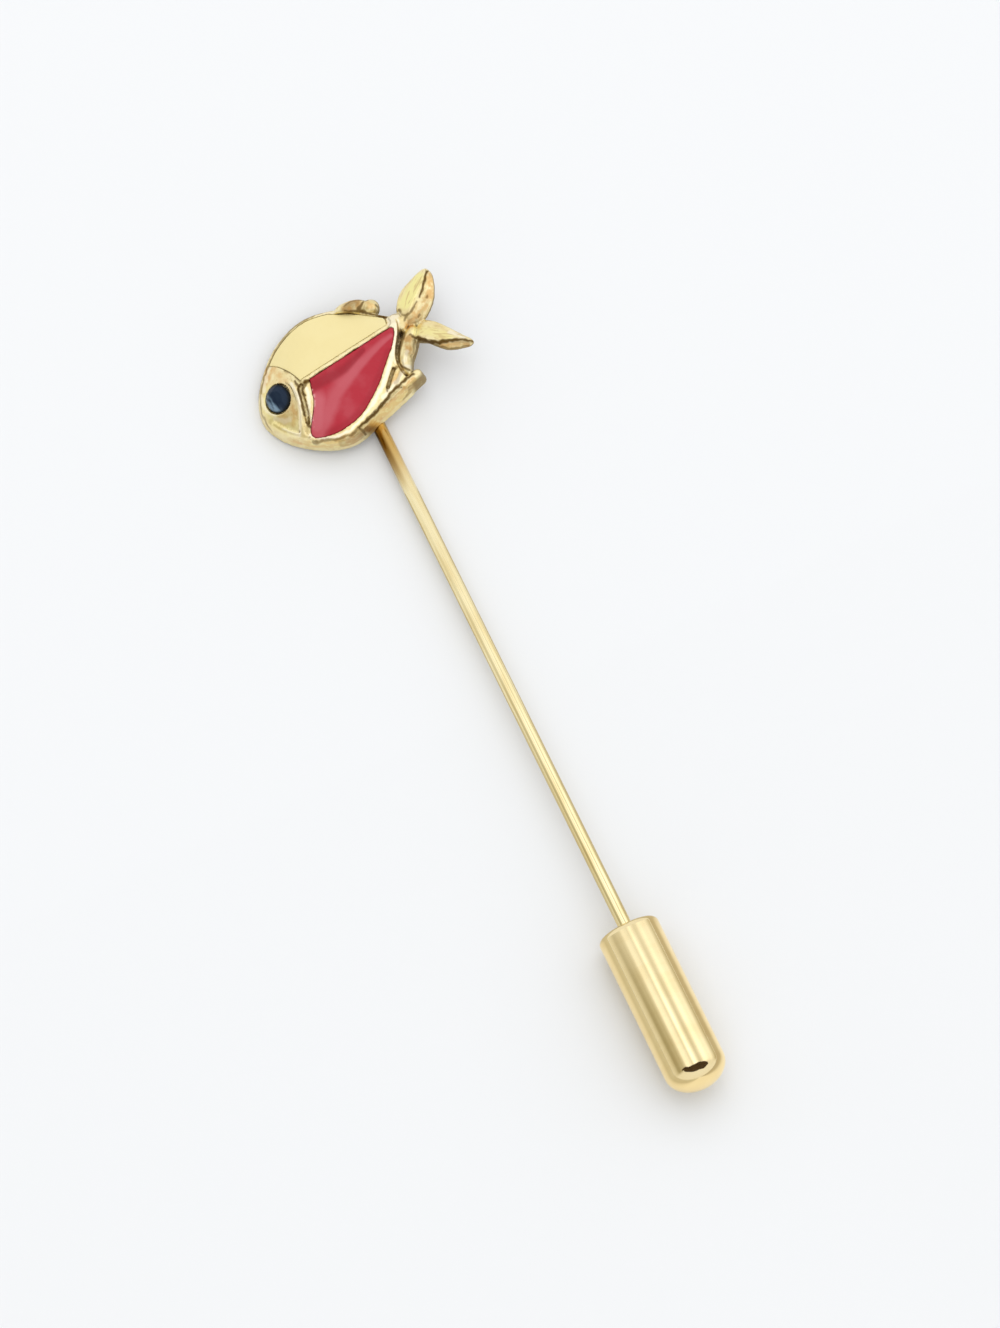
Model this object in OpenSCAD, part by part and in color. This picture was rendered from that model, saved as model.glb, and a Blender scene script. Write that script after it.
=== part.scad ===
// Stick pin: a small cast whale with two enamel fields and a cut stone eye, soldered to a straight wire,
// and the clutch that slides over the wire's point. Lengths are in millimetres. It lies on a flat surface.

/* [Whale body] */
// Length of the body from the nose to the corner under the tail
body_l = 13.2; // [11:0.1:16]
// Height of the body from the belly to the back
body_h = 11.3; // [10:0.1:13]
// Height of the flank ridge above the flat back of the casting
ridge_h = 3; // [2.6:0.1:3.6]
// Width of the metal strip left along the flank ridge
ridge_w = 0.34; // [0.26:0.02:0.5]
// Width of the strip's flat crest
crest_w = 0.2; // [0.1:0.02:0.24]
// Outward flare of the side wall in degrees
flare = 14; // [8:1:18]
// Width of the wall's rounded end under the tail
end_w = 0.75; // [0.6:0.05:0.95]

/* [Enamel] */
// Depth of both enamel cells
cell_depth = 0.4; // [0.25:0.05:0.6]
// Metal left between the enamel and the wall's edge
rim_w = 0.22; // [0.15:0.01:0.35]
// Clearance round the enamel in its cell
enamel_gap = 0.02; // [0.01:0.01:0.04]
// How far the enamel lies below the metal
enamel_sink = 0.03; // [0.01:0.01:0.06]

/* [Eye] */
// Diameter of the stone
stone_d = 2.3; // [1.9:0.05:2.5]
// Height of the stone's crown, from girdle to table
crown_h = 0.4; // [0.3:0.05:0.55]
// Depth of the stone below its girdle
pavilion_h = 0.75; // [0.5:0.05:0.9]
// Clearance round the stone in its seat
stone_gap = 0.07; // [0.03:0.01:0.1]
// How far the girdle lies below the metal
girdle_sink = 0.1; // [0.05:0.01:0.2]

/* [Relief] */
// Width of the raised lip behind the head
lip_w = 0.32; // [0.2:0.02:0.4]
// Height of the raised lips
lip_h = 0.16; // [0.1:0.01:0.25]
// Width of the engraved creases
crease_w = 0.2; // [0.12:0.02:0.3]
// Depth of the engraved creases
crease_depth = 0.25; // [0.15:0.05:0.35]

/* [Back fin] */
// Length of the long lobe
fin_l = 3; // [2.4:0.1:3.4]
// Width of the long lobe
fin_w = 1.5; // [1.2:0.1:1.8]
// Diameter of the round lobe
fin_knob_d = 1.5; // [1.2:0.1:1.8]
// Height of the lobes above the flat back
fin_h = 1.9; // [1.5:0.1:2.3]

/* [Tail] */
// Length of each fluke
fluke_l = 4.9; // [4:0.1:5.6]
// Width of each fluke
fluke_w = 2.75; // [2.2:0.05:3.2]
// Height of a fluke's ridge above its rim
fluke_ridge = 0.75; // [0.5:0.05:1]
// Thickness of a fluke at its rim
fluke_rim = 0.45; // [0.35:0.05:0.6]
// Height of the flukes' rims above the flat back
fluke_lift = 1.35; // [1:0.05:1.6]
// Width of the tail stem at its widest
stem_w = 1.6; // [1.3:0.1:1.9]
// Height of the tail stem above the flat back
stem_h = 2.5; // [2.2:0.1:2.8]

/* [Pin wire] */
// Length of the wire, point included
wire_l = 63.5; // [55:0.5:75]
// Diameter of the wire
wire_d = 1.1; // [0.9:0.05:1.3]
// Length of the point
point_l = 2; // [1.5:0.1:3]
// Diameter at the end of the point
point_d = 0.2; // [0.1:0.05:0.3]
// Depth to which the wire is soldered into the casting
wire_sunk = 0.2; // [0.1:0.05:0.3]
// Length of the solder along the wire
solder_l = 5.6; // [4:0.1:6.4]
// Width of the solder across the wire
solder_w = 2.2; // [1.6:0.1:3]
// Distance from the top of the back to the wire's upper end
wire_end_gap = 3.5; // [2.5:0.1:4.5]

/* [Clutch] */
// Diameter of the clutch
clutch_d = 5; // [4.5:0.1:6]
// Length of the clutch with its domed end
clutch_l = 14; // [13:0.1:16]
// Height of the domed end
dome_h = 1.9; // [1.5:0.1:2.5]
// Rounding of the open end's rim
rim_r = 0.35; // [0.2:0.05:0.5]
// Diameter of the countersink at the wire's mouth
mouth_d = 1.8; // [1.5:0.1:2.2]
// Length of wire that the clutch holds
grip_l = 10.9; // [9:0.1:11]
// Clearance round the wire in the clutch's bore
wire_gap = 0.03; // [0.02:0.01:0.05]

/* [Hidden] */
$fn = 48;
BIG = 40;

// Steps along each span of a curve, round each stem ring and along the clutch's dome
CURVE_STEPS = 4;
RING_STEPS = 16;
DOME_STEPS = 12;

// Share of the body's length at which the wire runs
WIRE_AT = 0.62;

// Body outline at the flat back, from the corner under the tail over the back to the nose and the belly.
// Columns: share of length, share of height, wall height as a share of the ridge, flare factor, doming,
// and the share of the way along the ridge at which the front meets it.
OUTLINE = [
    [0.930, 0.185, 0.73, 0.6, 0.45, 0.760],
    [0.908, 0.256, 0.76, 0.4, 0.40, 0.785],
    [0.897, 0.325, 0.79, 0.3, 0.35, 0.815],
    [0.904, 0.385, 0.82, 0.3, 0.30, 0.855],
    [0.934, 0.455, 0.85, 0.3, 0.25, 0.925],
    [0.985, 0.545, 0.88, 0.3, 0.20, 1.000],
    [1.012, 0.628, 0.84, 0.4, 0.20, 1.000],
    [0.985, 0.692, 0.72, 0.4, 0.20, 1.000],
    [0.915, 0.772, 0.54, 0.6, 0.25, 0.900],
    [0.790, 0.885, 0.40, 0.8, 0.25, 0.700],
    [0.650, 0.975, 0.36, 1.0, 0.30, 0.470],
    [0.450, 0.995, 0.34, 1.0, 0.35, 0.180],
    [0.235, 0.885, 0.34, 1.0, 0.35, 0.000],
    [0.062, 0.670, 0.36, 1.0, 0.40, 0.000],
    [0.000, 0.453, 0.40, 1.0, 0.50, 0.000],
    [0.059, 0.270, 0.48, 1.0, 0.55, 0.000],
    [0.195, 0.118, 0.58, 0.7, 0.55, 0.000],
    [0.340, 0.028, 0.66, 0.4, 0.55, 0.060],
    [0.475, 0.004, 0.70, 0.4, 0.55, 0.240],
    [0.650, 0.060, 0.72, 0.8, 0.55, 0.450],
    [0.870, 0.140, 0.73, 0.9, 0.50, 0.715]
];

// Centres of the rounded end of the wall under the tail. Columns: share of length, share of height.
WALL_END = [[0.874, 0.194], [0.967, 0.227]];

// Ends of the flank ridge. Columns: share of length, share of height, share of the ridge's height.
RIDGE_FRONT = [0.335, 0.521, 1];
RIDGE_TAIL = [0.948, 0.612, 0.93];

// The cream field's border with the head and with the fin. Columns: share of length, share of height.
CREAM_HEAD = [[0.320, 0.525], [0.278, 0.645], [0.205, 0.760], [0.060, 0.860]];
CREAM_FIN = [[0.560, 1.010], [0.660, 0.918], [0.782, 0.846], [0.885, 0.765], [0.934, 0.690], [0.930, 0.625]];

// The red field's border along the rim and beside the head. Columns: share of length, share of height.
RED_BELLY = [
    [0.958, 0.585], [0.947, 0.545], [0.915, 0.486], [0.865, 0.426], [0.795, 0.342], [0.730, 0.265],
    [0.651, 0.195], [0.583, 0.143], [0.514, 0.110], [0.432, 0.092], [0.359, 0.093], [0.294, 0.112],
    [0.250, 0.135]
];
RED_HEAD = [[0.237, 0.165], [0.250, 0.206], [0.300, 0.284], [0.337, 0.356], [0.352, 0.420], [0.366, 0.480]];

// Ends of the red field's upper border, as shares of the ridge's length
RED_FROM = 0.055;
RED_TO = 0.985;

// The raised lip behind the head. Columns: share of length, share of height.
HEAD_LIP = [
    [0.243, 0.590], [0.262, 0.545], [0.266, 0.480], [0.256, 0.400], [0.236, 0.320], [0.208, 0.250],
    [0.192, 0.178]
];

// Engraved grooves behind the lip and across the flank. Columns: share of length, share of height.
HEAD_GROOVE = [[0.322, 0.506], [0.294, 0.472], [0.284, 0.390], [0.268, 0.310], [0.247, 0.240]];
FLANK_CREASE = [[0.858, 0.326], [0.812, 0.272], [0.765, 0.212]];

// Outline rows between which the chin's lip and the belly's groove follow the wall's edge, and the
// groove's end beside the tail. Columns of the end: share of length, share of height.
CHIN_ROWS = [14.5, 16];
BELLY_ROWS = [16.25, 20.5];
GROOVE_END = [0.922, 0.252];

// Place of the eye: outline row that it looks towards, and share of the way from the wall to the ridge
EYE_ROW = 13.75;
EYE_SHARE = 0.40;

// Tail stem, from the corner under the tail to the flukes' root.
// Columns: share of length, share of height, share of the stem's width, share of its height.
STEM = [
    [0.926, 0.250, 0.40, 0.78],
    [0.920, 0.296, 0.66, 0.90],
    [0.933, 0.356, 0.82, 0.97],
    [0.957, 0.400, 0.92, 1.00],
    [0.987, 0.444, 1.00, 0.98],
    [1.016, 0.486, 0.94, 0.92],
    [1.050, 0.530, 0.76, 0.86],
    [1.062, 0.560, 0.50, 0.78]
];

// Web between the body's corner and the flukes' root.
// Columns: share of length, share of height, share of the stem's height.
TAIL_WEB = [
    [0.970, 0.640, 0.96],
    [0.985, 0.665, 0.90],
    [1.026, 0.665, 0.76],
    [1.048, 0.620, 0.80],
    [1.005, 0.580, 0.80]
];

// Each fluke from root to tip. Columns: share of length, left edge, ridge and right edge as shares of the
// half width, share of the ridge's height.
FLUKE_UP = [
    [0.00, 0.34, 0.02, -0.30, 0.30],
    [0.08, 0.62, 0.10, -0.52, 0.62],
    [0.18, 1.00, 0.20, -0.70, 0.90],
    [0.32, 1.14, 0.16, -0.82, 1.00],
    [0.46, 1.16, 0.10, -0.87, 1.00],
    [0.60, 1.05, 0.02, -0.84, 0.96],
    [0.74, 0.80, 0.00, -0.70, 0.84],
    [0.87, 0.54, 0.04, -0.50, 0.62],
    [0.96, 0.33, 0.08, -0.26, 0.36],
    [1.00, 0.16, 0.10, 0.00, 0.10]
];
FLUKE_DOWN = [
    [0.00, 0.40, 0.00, -0.28, 0.30],
    [0.07, 0.80, -0.03, -0.28, 0.62],
    [0.16, 1.02, -0.10, -0.28, 0.90],
    [0.28, 1.04, -0.16, -0.30, 1.00],
    [0.42, 0.92, -0.14, -0.46, 1.00],
    [0.56, 0.72, -0.06, -0.58, 0.96],
    [0.70, 0.50, 0.02, -0.56, 0.84],
    [0.84, 0.29, 0.02, -0.44, 0.62],
    [0.95, 0.14, -0.02, -0.30, 0.36],
    [1.00, 0.00, -0.06, -0.14, 0.10]
];

// The two flukes. Columns: root's share of length and of height, heading, roll and rise in degrees.
FLUKES = [
    [1.050, 0.565, 48, 4, 4],
    [1.038, 0.492, -31.5, -6, 2]
];
FLUKE_ROWS = [FLUKE_UP, FLUKE_DOWN];

// Fin lobes. Columns: share of length, share of height, turn in degrees.
FIN_LOBE = [0.784, 0.885, -12];
FIN_KNOB = [0.886, 0.832, -40];

function mix(a, b, t) = a + (b - a) * t;
function clamp(t) = min(1, max(0, t));
function flat(p) = [p[0], p[1]];
function unit(p) = p / norm(p);

// Scales rows of shares to millimetres, with any further columns kept
function on_body(rows) = [for (r = rows) [for (i = [0:len(r) - 1])
    i == 0 ? r[0] * body_l : i == 1 ? r[1] * body_h : r[i]]];

// A smooth span between b and c, with a and d beyond them
function span(a, b, c, d, t) =
    (2 * b + (c - a) * t + (2 * a - 5 * b + 4 * c - d) * t * t + (3 * b - a - 3 * c + d) * t * t * t) / 2;

// Smooth curves through rows: round and back to the start, or from the first row to the last
function closed_curve(rows) = let (n = len(rows)) [for (i = [0:n - 1], k = [0:CURVE_STEPS - 1])
    span(rows[(i + n - 1) % n], rows[i], rows[(i + 1) % n], rows[(i + 2) % n], k / CURVE_STEPS)];
function open_curve(rows) = let (n = len(rows)) concat(
    [for (i = [0:n - 2], k = [0:CURVE_STEPS - 1])
        span(rows[max(0, i - 1)], rows[i], rows[i + 1], rows[min(n - 1, i + 2)], k / CURVE_STEPS)],
    [rows[n - 1]]);

// The outline at the back, and the inward normal at each of its points
BACK = closed_curve(on_body(OUTLINE));
COUNT = len(BACK);
function inward(i) = let (d = flat(BACK[(i + 1) % COUNT]) - flat(BACK[(i + COUNT - 1) % COUNT]))
    unit([-d[1], d[0]]);

// The upper edge of the side wall
function wall_h(i) = BACK[i][2] * ridge_h;
function edge_point(i) = flat(BACK[i]) + inward(i) * wall_h(i) * tan(flare) * BACK[i][3];

// The flank ridge, and the edge of its crest that faces an outline point
RIDGE_A = flat(on_body([RIDGE_FRONT])[0]);
RIDGE_B = flat(on_body([RIDGE_TAIL])[0]);
RIDGE_SIDE = unit([RIDGE_A[1] - RIDGE_B[1], RIDGE_B[0] - RIDGE_A[0]]);
function ridge_z(t) = ridge_h * mix(RIDGE_FRONT[2], RIDGE_TAIL[2], t);
function ridge_point(i) = let (
    p = edge_point(i),
    t = clamp(BACK[i][5]),
    q = mix(RIDGE_A, RIDGE_B, t),
    side = sign((p - q) * RIDGE_SIDE),
    way = t == 0 || t == 1 ? unit(p - q) : side * RIDGE_SIDE)
    concat(q + way * crest_w / 2, [ridge_z(t)]);

// A point of the front, from the wall's edge at t = 0 to the ridge at t = 1
function front(i, t) = let (
    a = edge_point(i),
    b = ridge_point(i),
    rise = t * (1 + BACK[i][4]) - BACK[i][4] * t * t)
    concat(mix(a, flat(b), t), [mix(wall_h(i), b[2], rise)]);

// The triangles between rings of n points each, counted from the given ring on
function ring_walls(n, from, to) = [for (k = [from:to - 1], i = [0:n - 1]) let (j = (i + 1) % n)
    each [[k * n + i, (k + 1) * n + i, k * n + j], [k * n + j, (k + 1) * n + i, (k + 1) * n + j]]];

// A closed solid through rings of equally many points, the first ring lowest or nearest
module loft(rings) {
    n = len(rings[0]);
    m = len(rings);
    first = [for (i = [0:n - 1]) i];
    last = [for (i = [n - 1:-1:0]) (m - 1) * n + i];
    polyhedron([for (r = rings) each r], concat([first, last], ring_walls(n, 0, m - 1)), convexity = 6);
}

// A solid under the front: through the given rings, then the front at the given shares of the way to
// the ridge, and closed by a low roof along the crest
module under_front(rings, shares, d) {
    m = len(rings) + len(shares);
    roof = [for (end = [RIDGE_FRONT, RIDGE_TAIL]) let (p = on_body([end])[0])
        [p[0], p[1], end[2] * ridge_h + crest_w / 4 + d]];
    top = (m - 1) * COUNT;
    crest = [for (i = [0:COUNT - 1]) let (
        j = (i + 1) % COUNT,
        a = BACK[i][5] < 0.5 ? 0 : 1,
        b = BACK[j][5] < 0.5 ? 0 : 1)
        each a == b
            ? [[top + i, m * COUNT + a, top + j]]
            : [[top + i, m * COUNT + b, top + j], [top + i, m * COUNT + a, m * COUNT + b]]];
    points = concat([for (r = rings) each r], [for (t = shares, i = [0:COUNT - 1]) front(i, t) + [0, 0, d]], roof);
    first = [for (i = [0:COUNT - 1]) i];
    polyhedron(points, concat([first], ring_walls(COUNT, 0, m - 1), crest), convexity = 6);
}

// The body with its flat back
module blank() {
    under_front([[for (p = BACK) concat(flat(p), [0])]], [0, 0.2, 0.4, 0.6, 0.8, 1], 0);
}

// All that lies under the front raised by d, or lowered where d is negative, also past the wall's edge
module ground(d) {
    spread = -0.1;
    under_front(
        [[for (i = [0:COUNT - 1]) concat(flat(front(i, spread)), [-ridge_h])]],
        [spread, 0, 0.2, 0.4, 0.6, 0.8, 1], d);
}

module prism(points) {
    linear_extrude(BIG, center = true) polygon(points);
}

// A smooth line through rows of shares, and one that follows the wall's edge a little inside it
function drawn(rows) = open_curve(on_body(rows));
function edge_line(rows, inset) = [for (i = [rows[0] * CURVE_STEPS:rows[1] * CURVE_STEPS])
    edge_point(i) + inward(i) * inset];

// A band of the given width along a line
function band(line, w) = let (
    n = len(line),
    side = [for (i = [0:n - 1]) let (d = unit(line[min(n - 1, i + 1)] - line[max(0, i - 1)])) [-d[1], d[0]]])
    concat([for (i = [0:n - 1]) line[i] + side[i] * w / 2], [for (i = [n - 1:-1:0]) line[i] - side[i] * w / 2]);

module lip(line) {
    intersection() {
        ground(lip_h);
        prism(band(line, lip_w));
    }
}

module crease(line, w) {
    difference() {
        prism(band(line, w));
        ground(-crease_depth);
    }
}

// Ridge line of the fields, moved off the ridge by the strip's half width and the rim
function beside_ridge(side) = [for (p = [RIDGE_A, RIDGE_B]) p + side * RIDGE_SIDE * ridge_w / 2];

module inside_rim() {
    offset(delta = -rim_w) polygon([for (i = [0:COUNT - 1]) edge_point(i)]);
}

module cream_field(gap) {
    line = beside_ridge(1);
    offset(delta = -gap) intersection() {
        inside_rim();
        polygon(concat(drawn(CREAM_HEAD), [[0, BIG]], drawn(CREAM_FIN), [line[1], line[0]]));
    }
}

module red_field(gap) {
    line = beside_ridge(-1);
    top = [mix(line[0], line[1], RED_FROM), mix(line[0], line[1], RED_TO)];
    offset(delta = -gap) intersection() {
        inside_rim();
        polygon(concat(top, drawn(RED_BELLY), drawn(RED_HEAD)));
    }
}

// What is cut out for an enamel, and the enamel itself, which clears the cell all round
module cell() {
    difference() {
        linear_extrude(BIG) children();
        ground(-cell_depth);
    }
}

module enamel() {
    difference() {
        intersection() {
            ground(-enamel_sink);
            linear_extrude(BIG) children();
        }
        ground(enamel_gap - cell_depth);
    }
}

// Places its children on the front at the eye, with their axis square to the surface
EYE_SAMPLE = round(EYE_ROW * CURVE_STEPS);
EYE_STEP = 0.05;
module at_eye() {
    low = front(EYE_SAMPLE, EYE_SHARE - EYE_STEP);
    high = front(EYE_SAMPLE, EYE_SHARE + EYE_STEP);
    way = high - low;
    run = norm(flat(way));
    translate(front(EYE_SAMPLE, EYE_SHARE))
        rotate([0, 0, atan2(way[1], way[0])])
            rotate([0, -atan2(way[2], run), 0])
                children();
}

module eye_seat() {
    seat_depth = girdle_sink + pavilion_h + stone_gap;
    translate([0, 0, -seat_depth])
        cylinder(h = seat_depth + BIG, d = stone_d + 2 * stone_gap);
}

function ring_of(r, z, n, turn) = [for (k = [0:n - 1]) let (a = turn + 360 * k / n) [r * cos(a), r * sin(a), z]];

// Round cut: an octagonal table, eight main facets between two rings, a girdle and a pointed pavilion
module cut_stone() {
    r = stone_d / 2;
    table = ring_of(0.55 * r, crown_h, 8, 0);
    stars = ring_of(0.8 * r, 0.6 * crown_h, 8, 22.5);
    girdle = ring_of(r, 0, 16, 11.25);
    pavilion = ring_of(0.5 * r, -0.55 * pavilion_h, 8, 22.5);
    culet = [[0, 0, -pavilion_h]];
    points = concat(table, stars, girdle, pavilion, culet);
    hull() polyhedron(points, [for (k = [1:len(points) - 2]) [0, k, k + 1]]);
}

// The wall's rounded end under the tail, as high as the wall there
module wall_end() {
    h = wall_h(0);
    r = end_w / 2;
    hull() for (p = on_body(WALL_END)) translate([p[0], p[1], 0]) {
        cylinder(h = 0.85 * h, r1 = r + 0.2 * h * tan(flare), r2 = r, $fn = 24);
        cylinder(h = h, r = 0.7 * r, $fn = 24);
    }
}

// An ellipsoid lobe of the fin, half sunk in the body
module lobe(row, l, w) {
    p = on_body([row])[0];
    translate([p[0], p[1], fin_h / 2])
        rotate([0, 0, row[2]])
            scale([l / 2, w / 2, fin_h / 2])
                sphere(r = 1, $fn = 20);
}

// A rounded ring across a path, with a flat underside at the casting's back
function stem_ring(p, way, half_w, h) = let (side = [-way[1], way[0]])
    [for (k = [0:RING_STEPS - 1]) let (a = 360 * k / RING_STEPS)
        concat(flat(p) + side * half_w * cos(a), [h / 2 + h / 2 * sin(a)])];

module tail_stem() {
    line = open_curve(on_body(STEM));
    n = len(line);
    loft([for (i = [0:n - 1])
        stem_ring(line[i], unit(flat(line[min(n - 1, i + 1)]) - flat(line[max(0, i - 1)])),
            line[i][2] * stem_w / 2, line[i][3] * stem_h)]);
}

// The web that joins the body's corner to the flukes' root, clear of the flat back
module tail_web() {
    r = 0.2 * stem_w;
    low = 0.25 * stem_h;
    hull() for (p = on_body(TAIL_WEB)) translate([p[0], p[1], low]) {
        cylinder(h = p[2] * stem_h - low - 0.5 * r, r = r, $fn = 20);
        cylinder(h = p[2] * stem_h - low, r = 0.6 * r, $fn = 20);
    }
}

// One section of a fluke, as a list of points round it: ridge on top, shallow below, square rims, and
// thinner where the ridge is low
function fluke_ring(row) = let (
    x = row[0] * fluke_l,
    left = row[1] * fluke_w / 2,
    ridge = row[2] * fluke_w / 2,
    right = row[3] * fluke_w / 2,
    top = row[4] * fluke_ridge,
    half = fluke_rim / 2 * mix(0.4, 1, row[4]))
    [[x, left, half], [x, mix(left, ridge, 0.5), half + 0.6 * top], [x, ridge, half + top],
        [x, mix(ridge, right, 0.5), half + 0.6 * top], [x, right, half], [x, right, -half],
        [x, mix(left, right, 0.5), -2 * half], [x, left, -half]];

module fluke(rows) {
    loft([for (r = open_curve(rows)) fluke_ring(r)]);
}

module place_fluke(row) {
    p = on_body([row])[0];
    translate([p[0], p[1], fluke_lift])
        rotate([0, 0, row[2]])
            rotate([0, -row[4], 0])
                rotate([-row[3], 0, 0])
                    children();
}

// The whale as it is cast, its flat back at z = 0
module casting() {
    difference() {
        union() {
            difference() {
                blank();
                crease(drawn(HEAD_GROOVE), 1.8 * crease_w);
                crease(drawn(FLANK_CREASE), 1.5 * crease_w);
                crease(concat(edge_line(BELLY_ROWS, 0.1 * crease_w), on_body([GROOVE_END])), 1.4 * crease_w);
            }
            lip(drawn(HEAD_LIP));
            lip(edge_line(CHIN_ROWS, 0.7 * lip_w));
            wall_end();
            tail_stem();
            tail_web();
            lobe(FIN_LOBE, fin_l, fin_w);
            lobe(FIN_KNOB, fin_knob_d, fin_knob_d);
            for (k = [0, 1]) place_fluke(FLUKES[k]) fluke(FLUKE_ROWS[k]);
        }
        cell() cream_field(0);
        cell() red_field(0);
        at_eye() eye_seat();
        translate([0, 0, -BIG]) linear_extrude(BIG) square(2 * BIG, center = true);
    }
}

// Solder that fillets the wire to the casting's back, in the wire's own axes
module solder() {
    difference() {
        translate([0, -solder_l / 2, BACK_UP])
            scale([solder_w / 2, solder_l / 2, wire_d / 2])
                sphere(r = 1, $fn = 24);
        translate([0, 0, BACK_UP + wire_sunk]) linear_extrude(BIG) square(BIG, center = true);
    }
}

// The wire runs along y, its upper end at y = 0 and its point at -wire_l
module pin_wire() {
    rotate([90, 0, 0]) {
        cylinder(h = wire_l - point_l, d = wire_d);
        translate([0, 0, wire_l - point_l]) cylinder(h = point_l, d1 = wire_d, d2 = point_d);
    }
}

// Clutch profile along its axis from the open end: rounded rim, wall and dome
module clutch_profile() {
    r = clutch_d / 2;
    wall_l = clutch_l - dome_h;
    rim = [for (k = [0:DOME_STEPS]) let (a = 90 * k / DOME_STEPS)
        [r - rim_r + rim_r * sin(a), rim_r - rim_r * cos(a)]];
    dome = [for (k = [1:DOME_STEPS]) let (a = 90 * k / DOME_STEPS) [r * cos(a), wall_l + dome_h * sin(a)]];
    polygon(concat([[0, 0]], rim, [[r, wall_l]], dome));
}

module clutch_solid() {
    bore_r = wire_d / 2 + wire_gap;
    sink = mouth_d / 2 - bore_r;
    difference() {
        rotate_extrude() clutch_profile();
        translate([0, 0, -1]) cylinder(h = grip_l + wire_gap + 1, r = bore_r);
        translate([0, 0, -sink]) cylinder(h = 2 * sink, r1 = bore_r + 2 * sink, r2 = bore_r);
    }
}

// Place of the wire in the casting: along the body, below the flat back, and its upper end
WIRE_X = WIRE_AT * body_l;
WIRE_TOP = body_h - wire_end_gap;
BACK_UP = wire_d / 2 - wire_sunk;
FREE_L = wire_l - grip_l;

// At rest the clutch's rim, the wire's upper end and the back's edge by the nose touch the surface
PITCH = atan((clutch_d / 2 - wire_d / 2) / (FREE_L + rim_r));
function roll_to_touch(p) = let (
    out = WIRE_X - p[0],
    reach = norm([out, BACK_UP]),
    drop = ((p[1] - WIRE_TOP) * tan(PITCH) - wire_d / 2) / reach)
    out <= 0 || abs(drop) > 1 ? 90 : acos(drop) - atan2(out, BACK_UP);
ROLL = min([for (p = BACK) roll_to_touch(p)]);

// The turn from the wire's own axes to the lying part, for points and for solids
function lying_point(p) = let (
    x = p[0] * cos(ROLL) - p[2] * sin(ROLL),
    z = p[0] * sin(ROLL) + p[2] * cos(ROLL))
    [x, p[1] * cos(PITCH) + z * sin(PITCH), z * cos(PITCH) - p[1] * sin(PITCH)];

// How far the part reaches, so that it is centred on its box
function turned(p, heading, roll, rise) = let (
    y1 = p[1] * cos(roll) + p[2] * sin(roll),
    z1 = p[2] * cos(roll) - p[1] * sin(roll),
    x2 = p[0] * cos(rise) - z1 * sin(rise),
    z2 = p[0] * sin(rise) + z1 * cos(rise))
    [x2 * cos(heading) - y1 * sin(heading), x2 * sin(heading) + y1 * cos(heading), z2];
FLUKE_POINTS = [for (k = [0, 1], r = open_curve(FLUKE_ROWS[k]), q = fluke_ring(r)) let (row = FLUKES[k])
    turned(q, row[2], row[3], row[4]) + [row[0] * body_l, row[1] * body_h, fluke_lift]];
CASTING_POINTS = concat(
    [for (p = BACK) concat(flat(p), [0])], [for (i = [0:COUNT - 1]) front(i, 0)], FLUKE_POINTS);
REACH = [for (p = CASTING_POINTS) lying_point(p - [WIRE_X, WIRE_TOP, -BACK_UP])];
CLUTCH_END = lying_point([0, -FREE_L - clutch_l, 0]);
LEFT = min([for (p = REACH) p[0]]);
RIGHT = max([for (p = REACH) p[0]]);
TOP = max([for (p = REACH) p[1]]);

// Lays the part down, centred, with the wire's upper end resting on the surface
module lying() {
    translate([-(LEFT + RIGHT) / 2, -(TOP + CLUTCH_END[1]) / 2, wire_d / 2 * cos(PITCH)])
        rotate([-PITCH, 0, 0])
            rotate([0, -ROLL, 0])
                children();
}

module on_wire() {
    translate([-WIRE_X, -WIRE_TOP, BACK_UP]) children();
}

// Keeps its children's size and takes them as one mesh, which suits a casting with many small cuts
module as_cast() {
    resize([0, 0, 0]) union() children();
}

module whale_body() {
    color("gold") lying() {
        as_cast() {
            on_wire() casting();
            solder();
        }
        pin_wire();
    }
}

module cream_enamel() {
    color("blanchedalmond") lying() as_cast() on_wire() enamel() cream_field(enamel_gap);
}

module red_enamel() {
    color("crimson") lying() as_cast() on_wire() enamel() red_field(enamel_gap);
}

module eye_stone() {
    color("midnightblue") lying() on_wire() at_eye() translate([0, 0, -girdle_sink]) cut_stone();
}

module pin_clutch() {
    color("goldenrod") lying() translate([0, -FREE_L, 0]) rotate([90, 0, 0]) clutch_solid();
}

whale_body();
cream_enamel();
red_enamel();
eye_stone();
pin_clutch();
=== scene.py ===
"""Gold-tone whale stick pin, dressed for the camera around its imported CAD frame."""
import logging
import math
from dataclasses import dataclass
from enum import Enum

import bpy
import numpy as np
from bpy.types import Material, Mesh, Node, NodeSocket, NodeTree, Object
from mathutils import Matrix, Vector
from mathutils.noise import noise_vector, seed_set


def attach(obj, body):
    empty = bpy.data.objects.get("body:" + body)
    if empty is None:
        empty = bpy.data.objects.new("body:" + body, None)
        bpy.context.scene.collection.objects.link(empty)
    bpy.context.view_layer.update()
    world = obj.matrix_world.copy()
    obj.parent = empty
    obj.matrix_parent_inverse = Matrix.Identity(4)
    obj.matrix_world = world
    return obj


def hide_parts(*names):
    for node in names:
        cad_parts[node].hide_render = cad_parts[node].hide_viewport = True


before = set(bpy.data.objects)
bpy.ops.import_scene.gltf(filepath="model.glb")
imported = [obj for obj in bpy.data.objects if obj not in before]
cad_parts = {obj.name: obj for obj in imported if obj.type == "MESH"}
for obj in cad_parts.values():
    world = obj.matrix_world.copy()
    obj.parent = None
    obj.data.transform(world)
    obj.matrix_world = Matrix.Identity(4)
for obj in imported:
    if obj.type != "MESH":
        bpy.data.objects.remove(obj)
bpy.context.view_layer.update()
LOG = logging.getLogger("stick_pin")
MM = 0.001
WOBBLE_SEED = 5


# Helpers

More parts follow.
